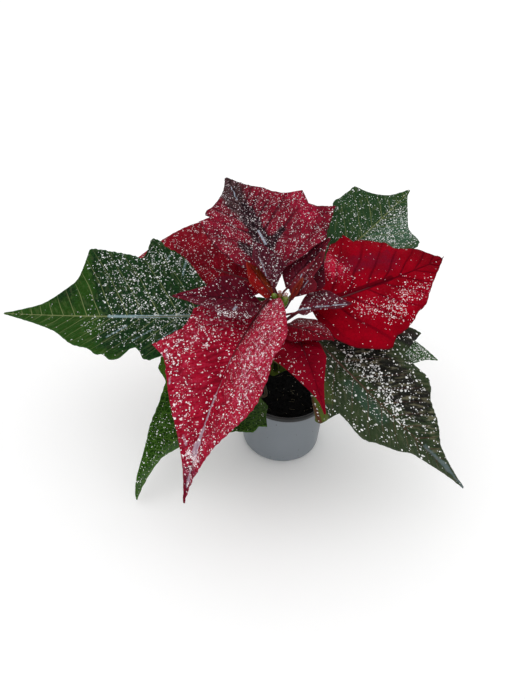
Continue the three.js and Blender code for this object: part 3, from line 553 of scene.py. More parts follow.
# The plant leans in its pot: degrees about an axis through a place, then a shift, in mm
plant = dict(
    axis=[(-15, 9, 18), (-20.5, 8, 47), (-17, 6, 72), (-10.5, 3, 108), (-7.5, 1, 131)],
    leanTurn=2.5, leanAxis=(0, -0.788, 0.616), leanThrough=(-18.4, 20.2, 76.5), leanShift=(-1.1, -7.9, 0),
    stemFoot=2.6, stemTop=2.2, seatGap=0.3,
    petiole=1.2, slimPetiole=0.78, slimBelow=60, collar=(1.35, 1.05),
    ribMarks=(0, 0.15, 0.3, 0.45), ribTip=0.45,
    bladeBase=1.3, bladeTip=0.5, bladeThickness=0.6, solidThickness=0.8,
    setOff=(2, 0.1), arrive=(8, 0.35),  # a stalk's straight ends: mm at most, and share of its reach
    midribSteps=160, edgeSteps=4000, cornerSteps=8, meshStep=1.3, softAngle=60,
    creaseRadius=1, sideStep=1.9,  # radians between the waves of the two sides
    bractStalk="#3C0A14", leafStalk="#4A3428",
)
# The blade's low relief, in mm; shares are of the way from the midrib to the edge
relief = dict(
    groove=0.35, grooveWidth=1.6, grooveEnd=1.2,
    bulgeShape=0.8, bulgeMiddle=0.4, flatRib=0.15, flatEdge=0.2, smoothRib=0.25,
    ridgeSize=2.6, ridgeStretch=0.35, dimpleSize=3.4, dimpleShare=0.6,
    ragged=0.02, raggedSize=2.5, raggedAcross=30,
    straySize=16, edgeBand=1.4,
    drawnOut=0.4,  # how far wrinkles stretch along the side veins: 1 is not at all
    mapUnit=100,  # mm of leaf in one unit of its maps
    sidesApart=900,  # between its two sides in the map along the veins
)
leaves = {
    name: {**usual, "wrinkleShadeTone": leaf["vein"], "ridgeHighlightTone": leaf["net"], "edgeTone": leaf["net"], **leaf}
    for name, leaf in leaves.items()
}
leanMatrix = (
    Matrix.Translation(plant["leanShift"])
    @ Matrix.Translation(plant["leanThrough"])
    @ Matrix.Rotation(math.radians(plant["leanTurn"]), 4, Vector(plant["leanAxis"]))
    @ Matrix.Translation(-Vector(plant["leanThrough"]))
)
leanTurn = np.array(leanMatrix.to_3x3())
leanShift = np.array(leanMatrix.to_translation())


def placed(points):
    return (np.asarray(points) @ leanTurn.T + leanShift) * mm


def bendBetween(start, end, leaving, arriving, t):
    return (start + leaving * t + (3 * (end - start) - 2 * leaving - arriving) * t ** 2
            + (2 * (start - end) + leaving + arriving) * t ** 3)


def smoothRoute(points, perPart):
    # A centripetal curve through the points
    points = [np.array(p, float) for p in points]
    ends = [2 * points[0] - points[1], *points, 2 * points[-1] - points[-2]]
    route = []
    for p0, p1, p2, p3 in zip(ends, ends[1:], ends[2:], ends[3:]):
        d0, d1, d2 = (max(math.dist(a, b) ** 0.5, 1e-4) for a, b in ((p0, p1), (p1, p2), (p2, p3)))
        leaving = ((p1 - p0) / d0 - (p2 - p0) / (d0 + d1) + (p2 - p1) / d1) * d1
        arriving = ((p2 - p1) / d1 - (p3 - p1) / (d1 + d2) + (p3 - p2) / d2) * d1
        route += [bendBetween(p1, p2, leaving, arriving, k / perPart) for k in range(perPart)]
    route.append(points[-1])
    return np.array(route)


stemRoute = smoothRoute(plant["axis"], perPart=24)


def stemAt(height):
    return np.array([np.interp(height, stemRoute[:, 2], stemRoute[:, k]) for k in range(3)])


def midribOf(leaf):
    steps = plant["midribSteps"]
    t = np.linspace(0, 1, steps + 1)
    pitch = np.radians(leaf["pitch"] - leaf["droop"] * t)
    heading = np.radians(leaf["heading"] + leaf["sway"] * t)
    along = np.stack([np.cos(pitch) * np.cos(heading), np.cos(pitch) * np.sin(heading), np.sin(pitch)], 1)
    moves = (along[1:] + along[:-1]) / 2 * leaf["length"] / steps
    place = np.vstack([np.zeros(3), np.cumsum(moves, 0)]) + leaf["base"]
    flat = np.stack([-np.sin(heading), np.cos(heading), 0 * heading], 1)
    roll = math.radians(leaf["roll"])
    side = flat * math.cos(roll) + np.cross(along, flat) * math.sin(roll)
    return dict(s=t * leaf["length"], place=place, along=along, side=side, up=np.cross(along, side))


def atMidrib(leaf, key, s):
    rib = leaf["midrib"]
    return np.stack([np.interp(s, rib["s"], rib[key][:, k]) for k in range(3)], -1)


def outlineOf(leaf, points):
    # Curves between the corners, as [along, out] in mm
    rows = [(0, plant["bladeBase"]), *points, (leaf["length"], plant["bladeTip"])]
    corners = [0] + [i + 1 for i, p in enumerate(points) if len(p) > 2] + [len(rows) - 1]
    xy = np.array([row[:2] for row in rows], float)
    t = np.linspace(0, 1, plant["cornerSteps"] + 1)[1:, None]
    smooth = [xy[:1]]
    for a, b in zip(corners, corners[1:]):
        part = xy[[a, *range(a, b + 1), b]]
        for i in range(b - a):
            p0, p1, p2, p3 = part[i:i + 4]
            smooth.append(bendBetween(p1, p2, (p2 - p0) / 2, (p3 - p1) / 2, t))
    smooth = np.vstack(smooth)
    smooth[:, 0] = np.maximum.accumulate(smooth[:, 0])
    return smooth, xy[corners][:, 0]


def outAt(leaf, s, left):
    outline = leaf["leftOutline"] if left else leaf["rightOutline"]
    return np.maximum(np.interp(s, outline[:, 0], outline[:, 1]), plant["bladeTip"])


def edgeAt(leaf, s, v):
    return np.where(v > 0, outAt(leaf, s, True), outAt(leaf, s, False))


def smoothNoise(s, v, size, seed):
    values = [noise.noise(Vector((a / size, b / size, seed))) for a, b in zip(s.ravel(), v.ravel())]
    return np.array(values).reshape(s.shape)


def strokeSum(strokes, s, v):
    total = np.zeros(s.shape)
    for s0, v0, s1, v1, width, strength in strokes:
        reach = max((s1 - s0) ** 2 + (v1 - v0) ** 2, 1e-6)
        share = np.clip(((s - s0) * (s1 - s0) + (v - v0) * (v1 - v0)) / reach, 0, 1)
        away = (s - s0 - share * (s1 - s0)) ** 2 + (v - v0 - share * (v1 - v0)) ** 2
        total += strength * np.exp(-away / width ** 2)
    return total


def veinRun(leaf, s, v):
    # Where on the midrib the side vein through a place starts
    out = np.abs(v)
    lean = np.where(v > 0, leaf["lean"][0], leaf["lean"][1])
    run = (s - lean * out - leaf["bow"] * v ** 2) / (1 + leaf["fan"] * out / leaf["length"])
    return np.maximum(run, 0) + leaf["stray"] * smoothNoise(s, v, relief["straySize"], leaf["seed"] + 2)


def veinOrder(leaf, s, v):
    # A whole number on each side vein
    return leaf["veins"] * (np.maximum(veinRun(leaf, s, v), 0) / leaf["length"]) ** leaf["crowding"]


def reliefAt(leaf, s, v):
    # The blade bulges between its veins, sinks at its midrib and is crinkled along its veins
    share = np.abs(v) / edgeAt(leaf, s, v)
    order = veinOrder(leaf, s, v)
    bulge = np.sin(np.pi * np.abs(order - np.floor(order))) ** relief["bulgeShape"] - relief["bulgeMiddle"]
    window = np.clip(share / relief["flatRib"], 0, 1) * np.clip((1 - share) / relief["flatEdge"], 0, 1)
    shallower = np.clip(relief["grooveEnd"] - s / leaf["length"], 0, 1)
    groove = relief["groove"] * np.exp(-(v / relief["grooveWidth"]) ** 2) * shallower
    ridges = smoothNoise(veinRun(leaf, s, v), v * relief["ridgeStretch"], relief["ridgeSize"], leaf["seed"])
    dimples = smoothNoise(s, v, relief["dimpleSize"], leaf["seed"] + 9)
    rough = leaf["crinkle"] + strokeSum(leaf["crinkles"], s, v)
    away = np.clip(share / relief["smoothRib"], 0, 1)
    return (leaf["quilt"] * window * bulge - groove
            + rough * (ridges + relief["dimpleShare"] * dimples) * away)


def surfaceAt(leaf, s, v, lift=0.0):
    # The middle surface at s along and v to the left, raised by lift, before the lean
    out = np.abs(v) / leaf["half"]
    angle = np.radians(leaf["fold"] + leaf["curl"] * out)
    turn = (2 * np.pi * (leaf["waves"] * s / leaf["length"] + leaf["phase"])
            + np.where(v > 0, plant["sideStep"], 0))
    crease = plant["creaseRadius"]
    rise = (np.sqrt(v ** 2 + crease ** 2) - crease) * np.sin(angle) + leaf["wave"] * np.sin(turn) * out ** 2
    side, up = atMidrib(leaf, "side", s), atMidrib(leaf, "up", s)
    localUp = up * np.cos(angle)[..., None] - side * (np.tanh(v / crease) * np.sin(angle))[..., None]
    height = reliefAt(leaf, s, v) + lift
    return (atMidrib(leaf, "place", s) + side * (v * np.cos(angle))[..., None]
            + up * rise[..., None] + localUp * height[..., None])


def stationsOf(leaf, corners):
    # Rows at even steps along both edges, with one on every corner
    s = np.linspace(0, leaf["length"], plant["edgeSteps"])
    steps = [np.abs(np.diff(outAt(leaf, s, left))) / 2 for left in (True, False)]
    run = np.concatenate([[0], np.cumsum(np.diff(s) + steps[0] + steps[1])])
    count = int(run[-1] / plant["meshStep"]) + 2
    stations = np.interp(np.linspace(0, run[-1], count), run, s)
    for corner in sorted(set(corners)):
        stations[np.argmin(np.abs(stations - corner))] = corner
    return np.sort(stations)


def addFloats(mesh, name, values):
    layer = mesh.attributes.new(name, "FLOAT", "POINT")
    layer.data.foreach_set("value", np.asarray(values, np.float32))


def tintNames(leaf):
    return [f"tint{i}" for i in range(len(leaf["tints"]))]


def bladeMesh(name, leaf):
    leaf["leftOutline"], leftCorners = outlineOf(leaf, leaf["left"])
    leaf["rightOutline"], rightCorners = outlineOf(leaf, leaf["right"])
    leaf["midrib"] = midribOf(leaf)
    stations = stationsOf(leaf, [*leftCorners, *rightCorners])
    widest = max(outAt(leaf, stations, True).max(), outAt(leaf, stations, False).max())
    rows, columns = len(stations) - 1, 2 * max(4, math.ceil(widest / plant["meshStep"]))
    deselectAll()
    bpy.ops.mesh.primitive_grid_add(x_subdivisions=rows, y_subdivisions=columns, size=2)
    blade = bpy.context.object
    blade.name = blade.data.name = name + "_blade"
    mesh = blade.data
    grid = meshPoints(mesh)
    s = stations[np.rint((grid[:, 0] + 1) / 2 * rows).astype(int)]
    share = grid[:, 1]
    notches = smoothNoise(s, share * relief["raggedAcross"], relief["raggedSize"], leaf["seed"])
    v = share * edgeAt(leaf, s, share) * (1 + relief["ragged"] * notches)
    mesh.vertices.foreach_set("co", placed(surfaceAt(leaf, s, v)).ravel())
    while mesh.uv_layers:
        mesh.uv_layers.remove(mesh.uv_layers[0])
    corners = np.zeros(len(mesh.loops), int)
    mesh.loops.foreach_get("vertex_index", corners)
    # The second map runs along the side veins, so that what it carries is drawn out with them
    farApart = relief["sidesApart"] * (v > 0)
    for mapName, first, second in (
            ("leafMap", s, v), ("veinMap", veinRun(leaf, s, v), v * relief["drawnOut"] + farApart)):
        layer = mesh.uv_layers.new(name=mapName)
        layer.data.foreach_set("uv", (np.stack([first, second], 1)[corners] / relief["mapUnit"]).ravel())
    # How far apart the side veins are: they crowd together towards the tip
    order = veinOrder(leaf, s, v)
    crowding = leaf["crowding"]
    gap = leaf["length"] / (leaf["veins"] * crowding)
    layers = dict(
        order=order,
        gap=gap * np.clip(order / leaf["veins"], 0.04, 1) ** (1 / crowding - 1),
        outward=np.abs(share),
        edge=np.clip(relief["edgeBand"] - (1 - np.abs(share)) * edgeAt(leaf, s, v), 0, 1),
        dust=np.clip(strokeSum(leaf["dust"], s, v), 0, 1),
        glue=np.clip(strokeSum(leaf["glue"], s, v), 0, 1),
        crumple=np.clip(leaf["crinkle"] + strokeSum(leaf["crinkles"], s, v), 0, 1),
    )
    for key, (_, strokes) in zip(tintNames(leaf), leaf["tints"]):
        layers[key] = np.clip(strokeSum(strokes, s, v), 0, 1)
    for key, values in layers.items():
        addFloats(mesh, key, values)
    mesh.update()
    return blade


def leafSkin(name, leaf):
    # Living leaf under its wax: satin, with veins of another colour, dried glue and dust on it, and painted
    # shade in its wrinkles and painted highlight on their ridges
    material, tree = newMaterial("waxy leaf skin " + name)
    unit = relief["mapUnit"]
    leafMap = addNode(tree, mapNode, {"uv_map": "leafMap"})
    veinMap = addNode(tree, mapNode, {"uv_map": "veinMap"})
    parts = addNode(tree, "ShaderNodeSeparateXYZ", inputs={0: leafMap})
    along, across = parts.outputs["X"], parts.outputs["Y"]
    length = leaf["length"] / unit
    tints = tintNames(leaf)
    drawn = {}
    for key in ("order", "gap", "outward", "edge", "dust", "glue", "crumple", *tints):
        drawn[key] = addNode(tree, layerNode, {"attribute_name": key}).outputs["Fac"]
    # Noises by their size in mm: drifts of colour, patches, banks of dust, drops of glue, the wax's sheen,
    # wrinkles along the veins
    noises = {}
    for key, place, size, detail in (
            ("drift", leafMap, 18, 2), ("patch", leafMap, 5, 2), ("bank", leafMap, 3.2, 3),
            ("drop", leafMap, 1.6, 2), ("sheen", leafMap, 4, 2),
            ("wrinkle", veinMap, leaf["wrinkleSize"], 3)):
        noises[key] = addNode(tree, noiseNode, inputs={
            "Vector": place, "Scale": unit / size, "Detail": detail})
    # Small cells by their size in mm: the net of the finest veins, grains of dust, single specks
    net = addNode(tree, cellNode, {"feature": "DISTANCE_TO_EDGE"}, {"Vector": leafMap, "Scale": unit / 2.6})
    grains = addNode(tree, cellNode, inputs={"Vector": leafMap, "Scale": unit / 1.7})
    specks = addNode(tree, cellNode, inputs={"Vector": leafMap, "Scale": unit / 1.35})

    nearest = addNode(tree, mathNode, {"operation": "PINGPONG"}, {0: drawn["order"], 1: 0.5})
    fromVein = addNode(tree, mathNode, {"operation": "MULTIPLY"}, {0: nearest, 1: drawn["gap"]})
    fromRib = addNode(tree, mathNode, {"operation": "ABSOLUTE"}, {0: across})
    ribWidth = addNode(tree, rampNode, inputs={
        "Value": along, "From Max": length, "To Min": leaf["rib"] / unit, "To Max": 0.3 / unit})
    fromRib = addNode(tree, mathNode, {"operation": "DIVIDE"}, {0: fromRib, 1: ribWidth})
    # Each share runs smoothly from one value to the other between two levels of what drives it
    shares = {}
    for key, driver, low, high, atLow, atHigh in (
            ("sideVein", fromVein, leaf["veinWidth"] * 0.4, leaf["veinWidth"] * 1.3, 1, 0),
            ("sideFade", drawn["outward"], 0.05, leaf["veinReach"], 1, 0),
            ("midrib", fromRib, 0.6, 1.2, 1, 0),
            ("net", net, 0.02, 0.12, 1, 0),
            ("blotch", noises["drift"], 0.35, 0.7, 0, 1),
            ("tip", along, length * 0.7, length, 0, 1),
            ("wrinkle", noises["wrinkle"], 0.36, 0.5, 1, 0),
            ("ridge", noises["wrinkle"], 0.5, 0.64, 0, 1),
            ("grain", grains, 0.2, 0.55, 1, 0.1),
            ("bank", noises["bank"], 0.3, 0.58, 0.25, 1),
            ("speck", specks, 0.18, 0.36, 1, 0)):
        shares[key] = addNode(tree, rampNode, {"interpolation_type": "SMOOTHSTEP"}, {
            "Value": driver, "From Min": low, "From Max": high, "To Min": atLow, "To Max": atHigh})
    for key, second in (
            ("sideVein", shares["sideFade"]), ("grain", shares["bank"]), ("grain", drawn["dust"]),
            ("wrinkle", drawn["crumple"]), ("ridge", drawn["crumple"])):
        shares[key] = addNode(tree, mathNode, {"operation": "MULTIPLY"}, {0: shares[key], 1: second})
    veins = addNode(tree, mathNode, {"operation": "MAXIMUM"}, {0: shares["sideVein"], 1: shares["midrib"]})
    # Few cells hold a speck, and more of them where there is dust
    chance = addNode(tree, "ShaderNodeSeparateColor", inputs={0: specks.outputs["Color"]})
    rarest = addNode(tree, mathNode, {"operation": "MULTIPLY_ADD"}, {0: drawn["dust"], 1: -0.5, 2: 0.97})
    few = addNode(tree, mathNode, {"operation": "GREATER_THAN"}, {0: chance, 1: rarest})
    speck = addNode(tree, mathNode, {"operation": "MULTIPLY"}, {0: shares["speck"], 1: few})
    # Strokes with a broken edge: the noise, how deep it bites, and the levels between which it fades
    ragged = {}
    for key, noiseKey, depth, low, high in (
            ("glue", "drop", 0.5, 0.3, 0.65), *((tint, "patch", 0.6, 0.2, 0.6) for tint in tints)):
        edge = addNode(tree, mathNode, {"operation": "MULTIPLY_ADD"}, {
            0: noises[noiseKey], 1: depth, 2: drawn[key]})
        ragged[key] = addNode(tree, rampNode, {"interpolation_type": "SMOOTHSTEP"}, {
            "Value": edge, "From Min": low + depth / 2, "From Max": high + depth / 2})

    # From the leaf's flesh outwards, each colour laid over the last
    colour = addNode(tree, "ShaderNodeRGB")
    colour.outputs[0].default_value = linear(leaf["colour"])
    for share, strength, tone in (
            (shares["blotch"], 1, leaf["blotch"]),
            (shares["tip"], 1, leaf["tip"]),
            *((ragged[key], 1, tone) for key, (tone, _) in zip(tints, leaf["tints"])),
            (shares["net"], leaf["netShow"], leaf["net"]),
            # Painted shade in the wrinkles' hollows and painted highlight on their ridges, over the relief
            # the bump gives
            (shares["wrinkle"], leaf["wrinkleShadeShow"], leaf["wrinkleShadeTone"]),
            (shares["ridge"], leaf["ridgeHighlightShow"], leaf["ridgeHighlightTone"]),
            (veins, leaf["veinShow"], leaf["vein"]),
            (drawn["edge"], leaf["edgeShow"], leaf["edgeTone"]),
            (shares["grain"], 1, leaf["dustTone"]),
            (speck, 0.7, glitter["haze"]),
            (ragged["glue"], leaf["glueShow"], leaf["glueTone"])):
        if strength != 1:
            share = addNode(tree, mathNode, {"operation": "MULTIPLY"}, {0: share, 1: strength})
        colour = addNode(tree, mixNode, inputs={"Fac": share, "Color1": colour, "Color2": linear(tone)})

    # The wax is uneven, and dried glue is smoother
    rough = addNode(tree, mathNode, {"operation": "MULTIPLY_ADD"}, {
        0: noises["sheen"], 1: 0.16, 2: leaf["rough"] - 0.05})
    rough = addNode(tree, mathNode, {"operation": "MULTIPLY_ADD"}, {0: ragged["glue"], 1: -0.1, 2: rough})
    height = 0
    for source, rise in (
            (speck, 0.5), (shares["net"], -0.35), (ragged["glue"], 1), (veins, -0.5),
            (shares["grain"], 0.8), (shares["wrinkle"], -1.5), (shares["ridge"], 1.5)):
        height = addNode(tree, mathNode, {"operation": "MULTIPLY_ADD"}, {0: source, 1: rise, 2: height})
    bump = addNode(tree, bumpNode, inputs={"Strength": 0.7, "Distance": 0.5 * mm, "Height": height})
    return finishMaterial(material, {
        "Base Color": colour, "Roughness": rough, "IOR": 1.45, "Specular IOR Level": leaf["gloss"],
        "Normal": bump})


def leafUnderside(name, leaf):
    # The dull underside, paler and without dust, with its veins standing out
    material, tree = newMaterial("dull leaf underside " + name)
    leafMap = addNode(tree, mapNode, {"uv_map": "leafMap"})
    cells = addNode(tree, cellNode, {"feature": "DISTANCE_TO_EDGE"}, {
        "Vector": leafMap, "Scale": relief["mapUnit"] / 3})
    share = addNode(tree, rampNode, inputs={"Value": cells, "From Min": 0.02, "From Max": 0.16})
    pale = [0.6 * tone + bloom for tone, bloom in zip(linear(leaf["colour"]), (0.16, 0.16, 0.14, 0.4))]
    colour = addNode(tree, mixNode, inputs={
        "Fac": share, "Color1": pale, "Color2": [0.75 * tone for tone in pale[:3]] + [1]})
    bump = addNode(tree, bumpNode, inputs={"Strength": 0.4, "Distance": 0.3 * mm, "Height": cells})
    return finishMaterial(material, {"Base Color": colour, "Roughness": 0.65, "IOR": 1.45, "Normal": bump})


def stalkSkin(name, colour, dark):
    # A smooth fleshy stalk, satin, its colour in drifts of 5.56 mm
    material, tree = newMaterial(name)
    place = addNode(tree, placeNode).outputs["Object"]
    drift = addNode(tree, noiseNode, inputs={"Vector": place, "Scale": scaleOf(5.556), "Detail": 3})
    tone = addNode(tree, mixNode, inputs={"Fac": drift, "Color1": linear(colour), "Color2": linear(dark)})
    return finishMaterial(material, {
        "Base Color": tone, "Roughness": 0.45, "IOR": 1.45, "Specular IOR Level": 0.25})


stalkSkins = dict(
    bract=stalkSkin("fleshy maroon stalk", "#6A1020", plant["bractStalk"]),
    leaf=stalkSkin("fleshy green stalk", "#5A6A2C", "#6A3A24"),
)


def tubeAlong(name, points, radii, sides=12):
    # A round tube with closed ends along points in metres
    curve = bpy.data.curves.new(name, "CURVE")
    curve.dimensions = "3D"
    curve.bevel_depth = 1
    curve.bevel_resolution = sides // 4 - 1
    curve.use_fill_caps = True
    line = curve.splines.new("POLY")
    line.points.add(len(points) - 1)
    for spot, place, radius in zip(line.points, points, radii):
        spot.co = (*place, 1)
        spot.radius = radius
    pick(newObject(name, curve))
    bpy.ops.object.convert(target="MESH")
    tube = bpy.context.object
    cleanShell()
    return tube


def petioleTube(name, leaf):
    # From just off the stem to the blade, then on under it as its rib
    slim = leaf["length"] < plant["slimBelow"]
    thick = plant["slimPetiole"] if slim else plant["petiole"]
    axis = stemAt(leaf["joint"])
    base = np.array(leaf["base"], float)
    outward = (base - axis) * [1, 1, 0]
    outward /= np.linalg.norm(outward)
    foot = axis + outward * (plant["stemFoot"] - plant["seatGap"])
    reach = math.dist(base, foot)
    start = leaf["midrib"]["along"][0]
    (mostOff, shareOff), (mostBefore, shareBefore) = plant["setOff"], plant["arrive"]
    route = [foot, foot + outward * min(mostOff, reach * shareOff)]
    route.append(leaf["via"] if "via" in leaf else base - start * min(mostBefore, reach * shareBefore))
    for share in plant["ribMarks"]:
        s = np.array(share * leaf["length"])
        route.append(atMidrib(leaf, "place", s) - atMidrib(leaf, "up", s) * plant["solidThickness"] / 2)
    points = smoothRoute(route, perPart=7)
    lengths = np.concatenate([[0], np.cumsum(np.linalg.norm(np.diff(points, axis=0), axis=1))])
    share = lengths / lengths[-1]
    radii = thick + (plant["ribTip"] - thick) * share ** 2
    collar = np.linspace(*plant["collar"], 4)
    radii[:len(collar)] *= collar
    return tubeAlong(name + "_stalk", placed(points), radii * mm)


def tipHook(name, leaf):
    # The midrib's end, running out past the blade and bending to its left
    reach, bend = leaf["hook"]
    end = np.array(leaf["length"])
    overlap, thick, thin = 0.8, 0.55, 0.2
    t = np.linspace(0, 1, 7)[:, None]
    radii = np.linspace(thick, thin, len(t))
    route = (atMidrib(leaf, "place", end) + atMidrib(leaf, "along", end) * (reach * t - overlap)
             + atMidrib(leaf, "side", end) * bend * t ** 2)
    return tubeAlong(name + "_hook", placed(route), radii * mm, sides=8)


def addLeaf(name, leaf):
    blade = bladeMesh(name, leaf)
    kind = "bract" if "bract" in name else "leaf"
    if "stalk" in leaf:
        stalk = stalkSkin("fleshy stalk " + name, leaf["stalk"], plant[kind + "Stalk"])
    else:
        stalk = stalkSkins[kind]
    skins = [leafSkin(name, leaf), leafUnderside(name, leaf), stalk]
    wearSkins(blade, skins, 0)
    applyModifier(
        blade, "SOLIDIFY", thickness=plant["bladeThickness"] * mm, offset=0, use_even_offset=False,
        material_offset=1)
    softByAngle(blade, plant["softAngle"])
    tubes = [petioleTube(name, leaf)]
    if "hook" in leaf:
        tubes.append(tipHook(name, leaf))
    for tube in tubes:
        wearSkins(tube, skins, 2)
        softByAngle(tube, plant["softAngle"])
    joinAll(blade, tubes)
    ontoRoot(blade, leaf["slot"], name)


def scatterGlitter(name, leaf):
    draw = np.random.default_rng(leaf["seed"])
    widest = max(leaf["leftOutline"][:, 1].max(), leaf["rightOutline"][:, 1].max())
    densest = leaf["sparkle"] + max([0, *(row[5] for row in leaf["sparkles"])])
    squareCentimetres = leaf["length"] * 2 * widest / 100
    count = int(squareCentimetres * densest * glitter["amount"])
    s = draw.uniform(glitter["endMargin"], leaf["length"] - glitter["endMargin"], count)
    v = draw.uniform(-widest, widest, count)
    # Flakes lie in drifts and in rows along the side veins
    drifts = smoothNoise(s, v, glitter["driftSize"], leaf["seed"] + 4)
    rows = smoothNoise(veinRun(leaf, s, v), v * relief["drawnOut"], glitter["rowSize"], leaf["seed"] + 6)
    wanted = leaf["sparkle"] + strokeSum(leaf["sparkles"], s, v)
    wanted = wanted * (glitter["even"] + glitter["drifts"] * drifts + glitter["rows"] * rows)
    keep = (draw.random(count) * densest < wanted) & (np.abs(v) < edgeAt(leaf, s, v) - glitter["margin"])
    s, v = s[keep], v[keep]
    count = len(s)
    if not count:
        return 0
    half = plant["bladeThickness"] / 2
    place = surfaceAt(leaf, s, v, half - glitter["sunk"])
    near = glitter["slopeReach"]
    towardTip = surfaceAt(leaf, s + near, v, half) - surfaceAt(leaf, s - near, v, half)
    toLeft = surfaceAt(leaf, s, v + near, half) - surfaceAt(leaf, s, v - near, half)
    normal = np.cross(towardTip, toLeft)
    normal += draw.normal(0, glitter["tilt"], normal.shape) * np.linalg.norm(normal, axis=1)[:, None]
    normal /= np.linalg.norm(normal, axis=1)[:, None]
    first = np.cross(normal, draw.normal(size=normal.shape))
    first /= np.linalg.norm(first, axis=1)[:, None]
    second = np.cross(normal, first)
    size = glitter["radius"] * leaf["flake"] * np.clip(
        draw.lognormal(0, glitter["spread"], count), *glitter["sizes"])
    x, y, z = flakePoints.T[:, None, :, None]
    spots = place[:, None] + size[:, None, None] * (
        x * first[:, None] + y * second[:, None] + (z + glitter["peak"] / 2) * normal[:, None])
    flakes = repeated(name + "_glitter", placed(spots), flakeFaces)
    # Each flake's colour is a painted reflection of the studio's white or of the leaf round it, or
    # something between them
    around = np.array(linear(leaf["dustTone"]))
    white = glitter["faintest"] + (1 - glitter["faintest"]) * draw.random((count, 1)) ** leaf["dim"]
    tones = around * (1 - white) + white * draw.uniform(glitter["dullest"], 1, (count, 1))
    layer = flakes.data.attributes.new("flakeReflectionTone", "FLOAT_COLOR", "POINT")
    layer.data.foreach_set("color", np.repeat(tones, len(flakePoints), axis=0).astype(np.float32).ravel())
    flakes.data.materials.append(glitterFoil)
    ontoRoot(flakes, leaf["slot"])
    return count


# Craft glitter: hexagons cut from silvered polyester film, mostly 0.4 to 0.9 mm across, in dried white glue
# Sizes in mm; even, drifts and rows share out where the flakes lie
glitter = dict(
    amount=1.7, radius=0.29, peak=0.4, spread=0.4, sizes=(0.5, 2.3), tilt=0.25,
    endMargin=1, margin=0.3, sunk=0.02, slopeReach=0.4,
    even=0.9, drifts=1.1, driftSize=5, rows=1.4, rowSize=1.5,
    faintest=0.3, dullest=0.8, haze="#E6DCE2",
)
deselectAll()
bpy.ops.mesh.primitive_cone_add(vertices=6, radius1=1, radius2=0, depth=glitter["peak"])
flakePoints, flakeFaces = takeShape()
# A thin mirror film seen small: each flake's painted reflection as its colour, with a little metal in it
glitterFoil, foilTree = newMaterial("silvered polyester glitter")
flakeReflectionTone = addNode(foilTree, layerNode, {"attribute_name": "flakeReflectionTone"})
finishMaterial(glitterFoil, {"Base Color": flakeReflectionTone, "Metallic": 0.2, "Roughness": 0.35})

total = 0
for number, (name, leaf) in enumerate(leaves.items()):
    leaf["seed"] = 3 + 7 * number
    addLeaf(name, leaf)
    total += scatterGlitter(name, leaf)
print("flakes", total)

print("pot")
# A small nursery pot, thin-walled, with a rolled lip: mm. lipSteps round its lower edge, as (inward, up)
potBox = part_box("pot")
pot = dict(
    rim=potBox[1][0] / mm, height=potBox[1][2] / mm,
    lip=3.2, lipReach=0.5, lipWidth=2, lipRounding=0.55, lipSteps=((0.12, 0.1), (0, 0.4)),
    foot=30.2, footRounding=5.5, wall=1, footSteps=8, lipTurnSteps=4,
    drains=4, drainRadius=2.5, drainCircle=15, drillLength=6,
    sides=128,
    colour="#70777D", cloud="#787E84", lipShadeColour="#08090A", speck="#2A2C2E",
)
pot["lipBottom"] = pot["height"] - pot["lip"]


def quarterTurn(steps):
    return [math.radians(90 * i / steps) for i in range(steps + 1)]


def potRings():
    # Up the outside, over the lip and down the inside, as (radius, height)
    rim, top, foot, turn = pot["rim"], pot["height"], pot["foot"], pot["footRounding"]
    lipBottom, edge = pot["lipBottom"], pot["lipRounding"]
    innerLip, innerTurn = rim - pot["lipWidth"], turn - pot["wall"]
    footTurn, lipTurn = quarterTurn(pot["footSteps"]), quarterTurn(pot["lipTurnSteps"])
    return [
        *((foot - turn * (1 - math.sin(a)), turn * (1 - math.cos(a))) for a in footTurn),
        (rim - pot["lipReach"], lipBottom),
        *((rim - inward, lipBottom + up) for inward, up in pot["lipSteps"]),
        *((rim - edge * (1 - math.cos(a)), top - edge * (1 - math.sin(a))) for a in lipTurn),
        *((innerLip + edge * (1 - math.sin(a)), top - edge * (1 - math.cos(a))) for a in lipTurn),
        (innerLip, lipBottom),
        *((foot - turn + innerTurn * math.sin(a), turn - innerTurn * math.cos(a))
          for a in reversed(footTurn)),
    ]


def pullRings(rings):
    # Draws what is selected out from ring to ring, each as (radius, height)
    for (radius, height), (nextRadius, nextHeight) in zip(rings, rings[1:]):
        bpy.ops.mesh.extrude_region_move(
            TRANSFORM_OT_translate={"value": (0, 0, (nextHeight - height) * mm)})
        scale = nextRadius / radius
        bpy.ops.transform.resize(value=(scale, scale, 1), center_override=(0, 0, nextHeight * mm))


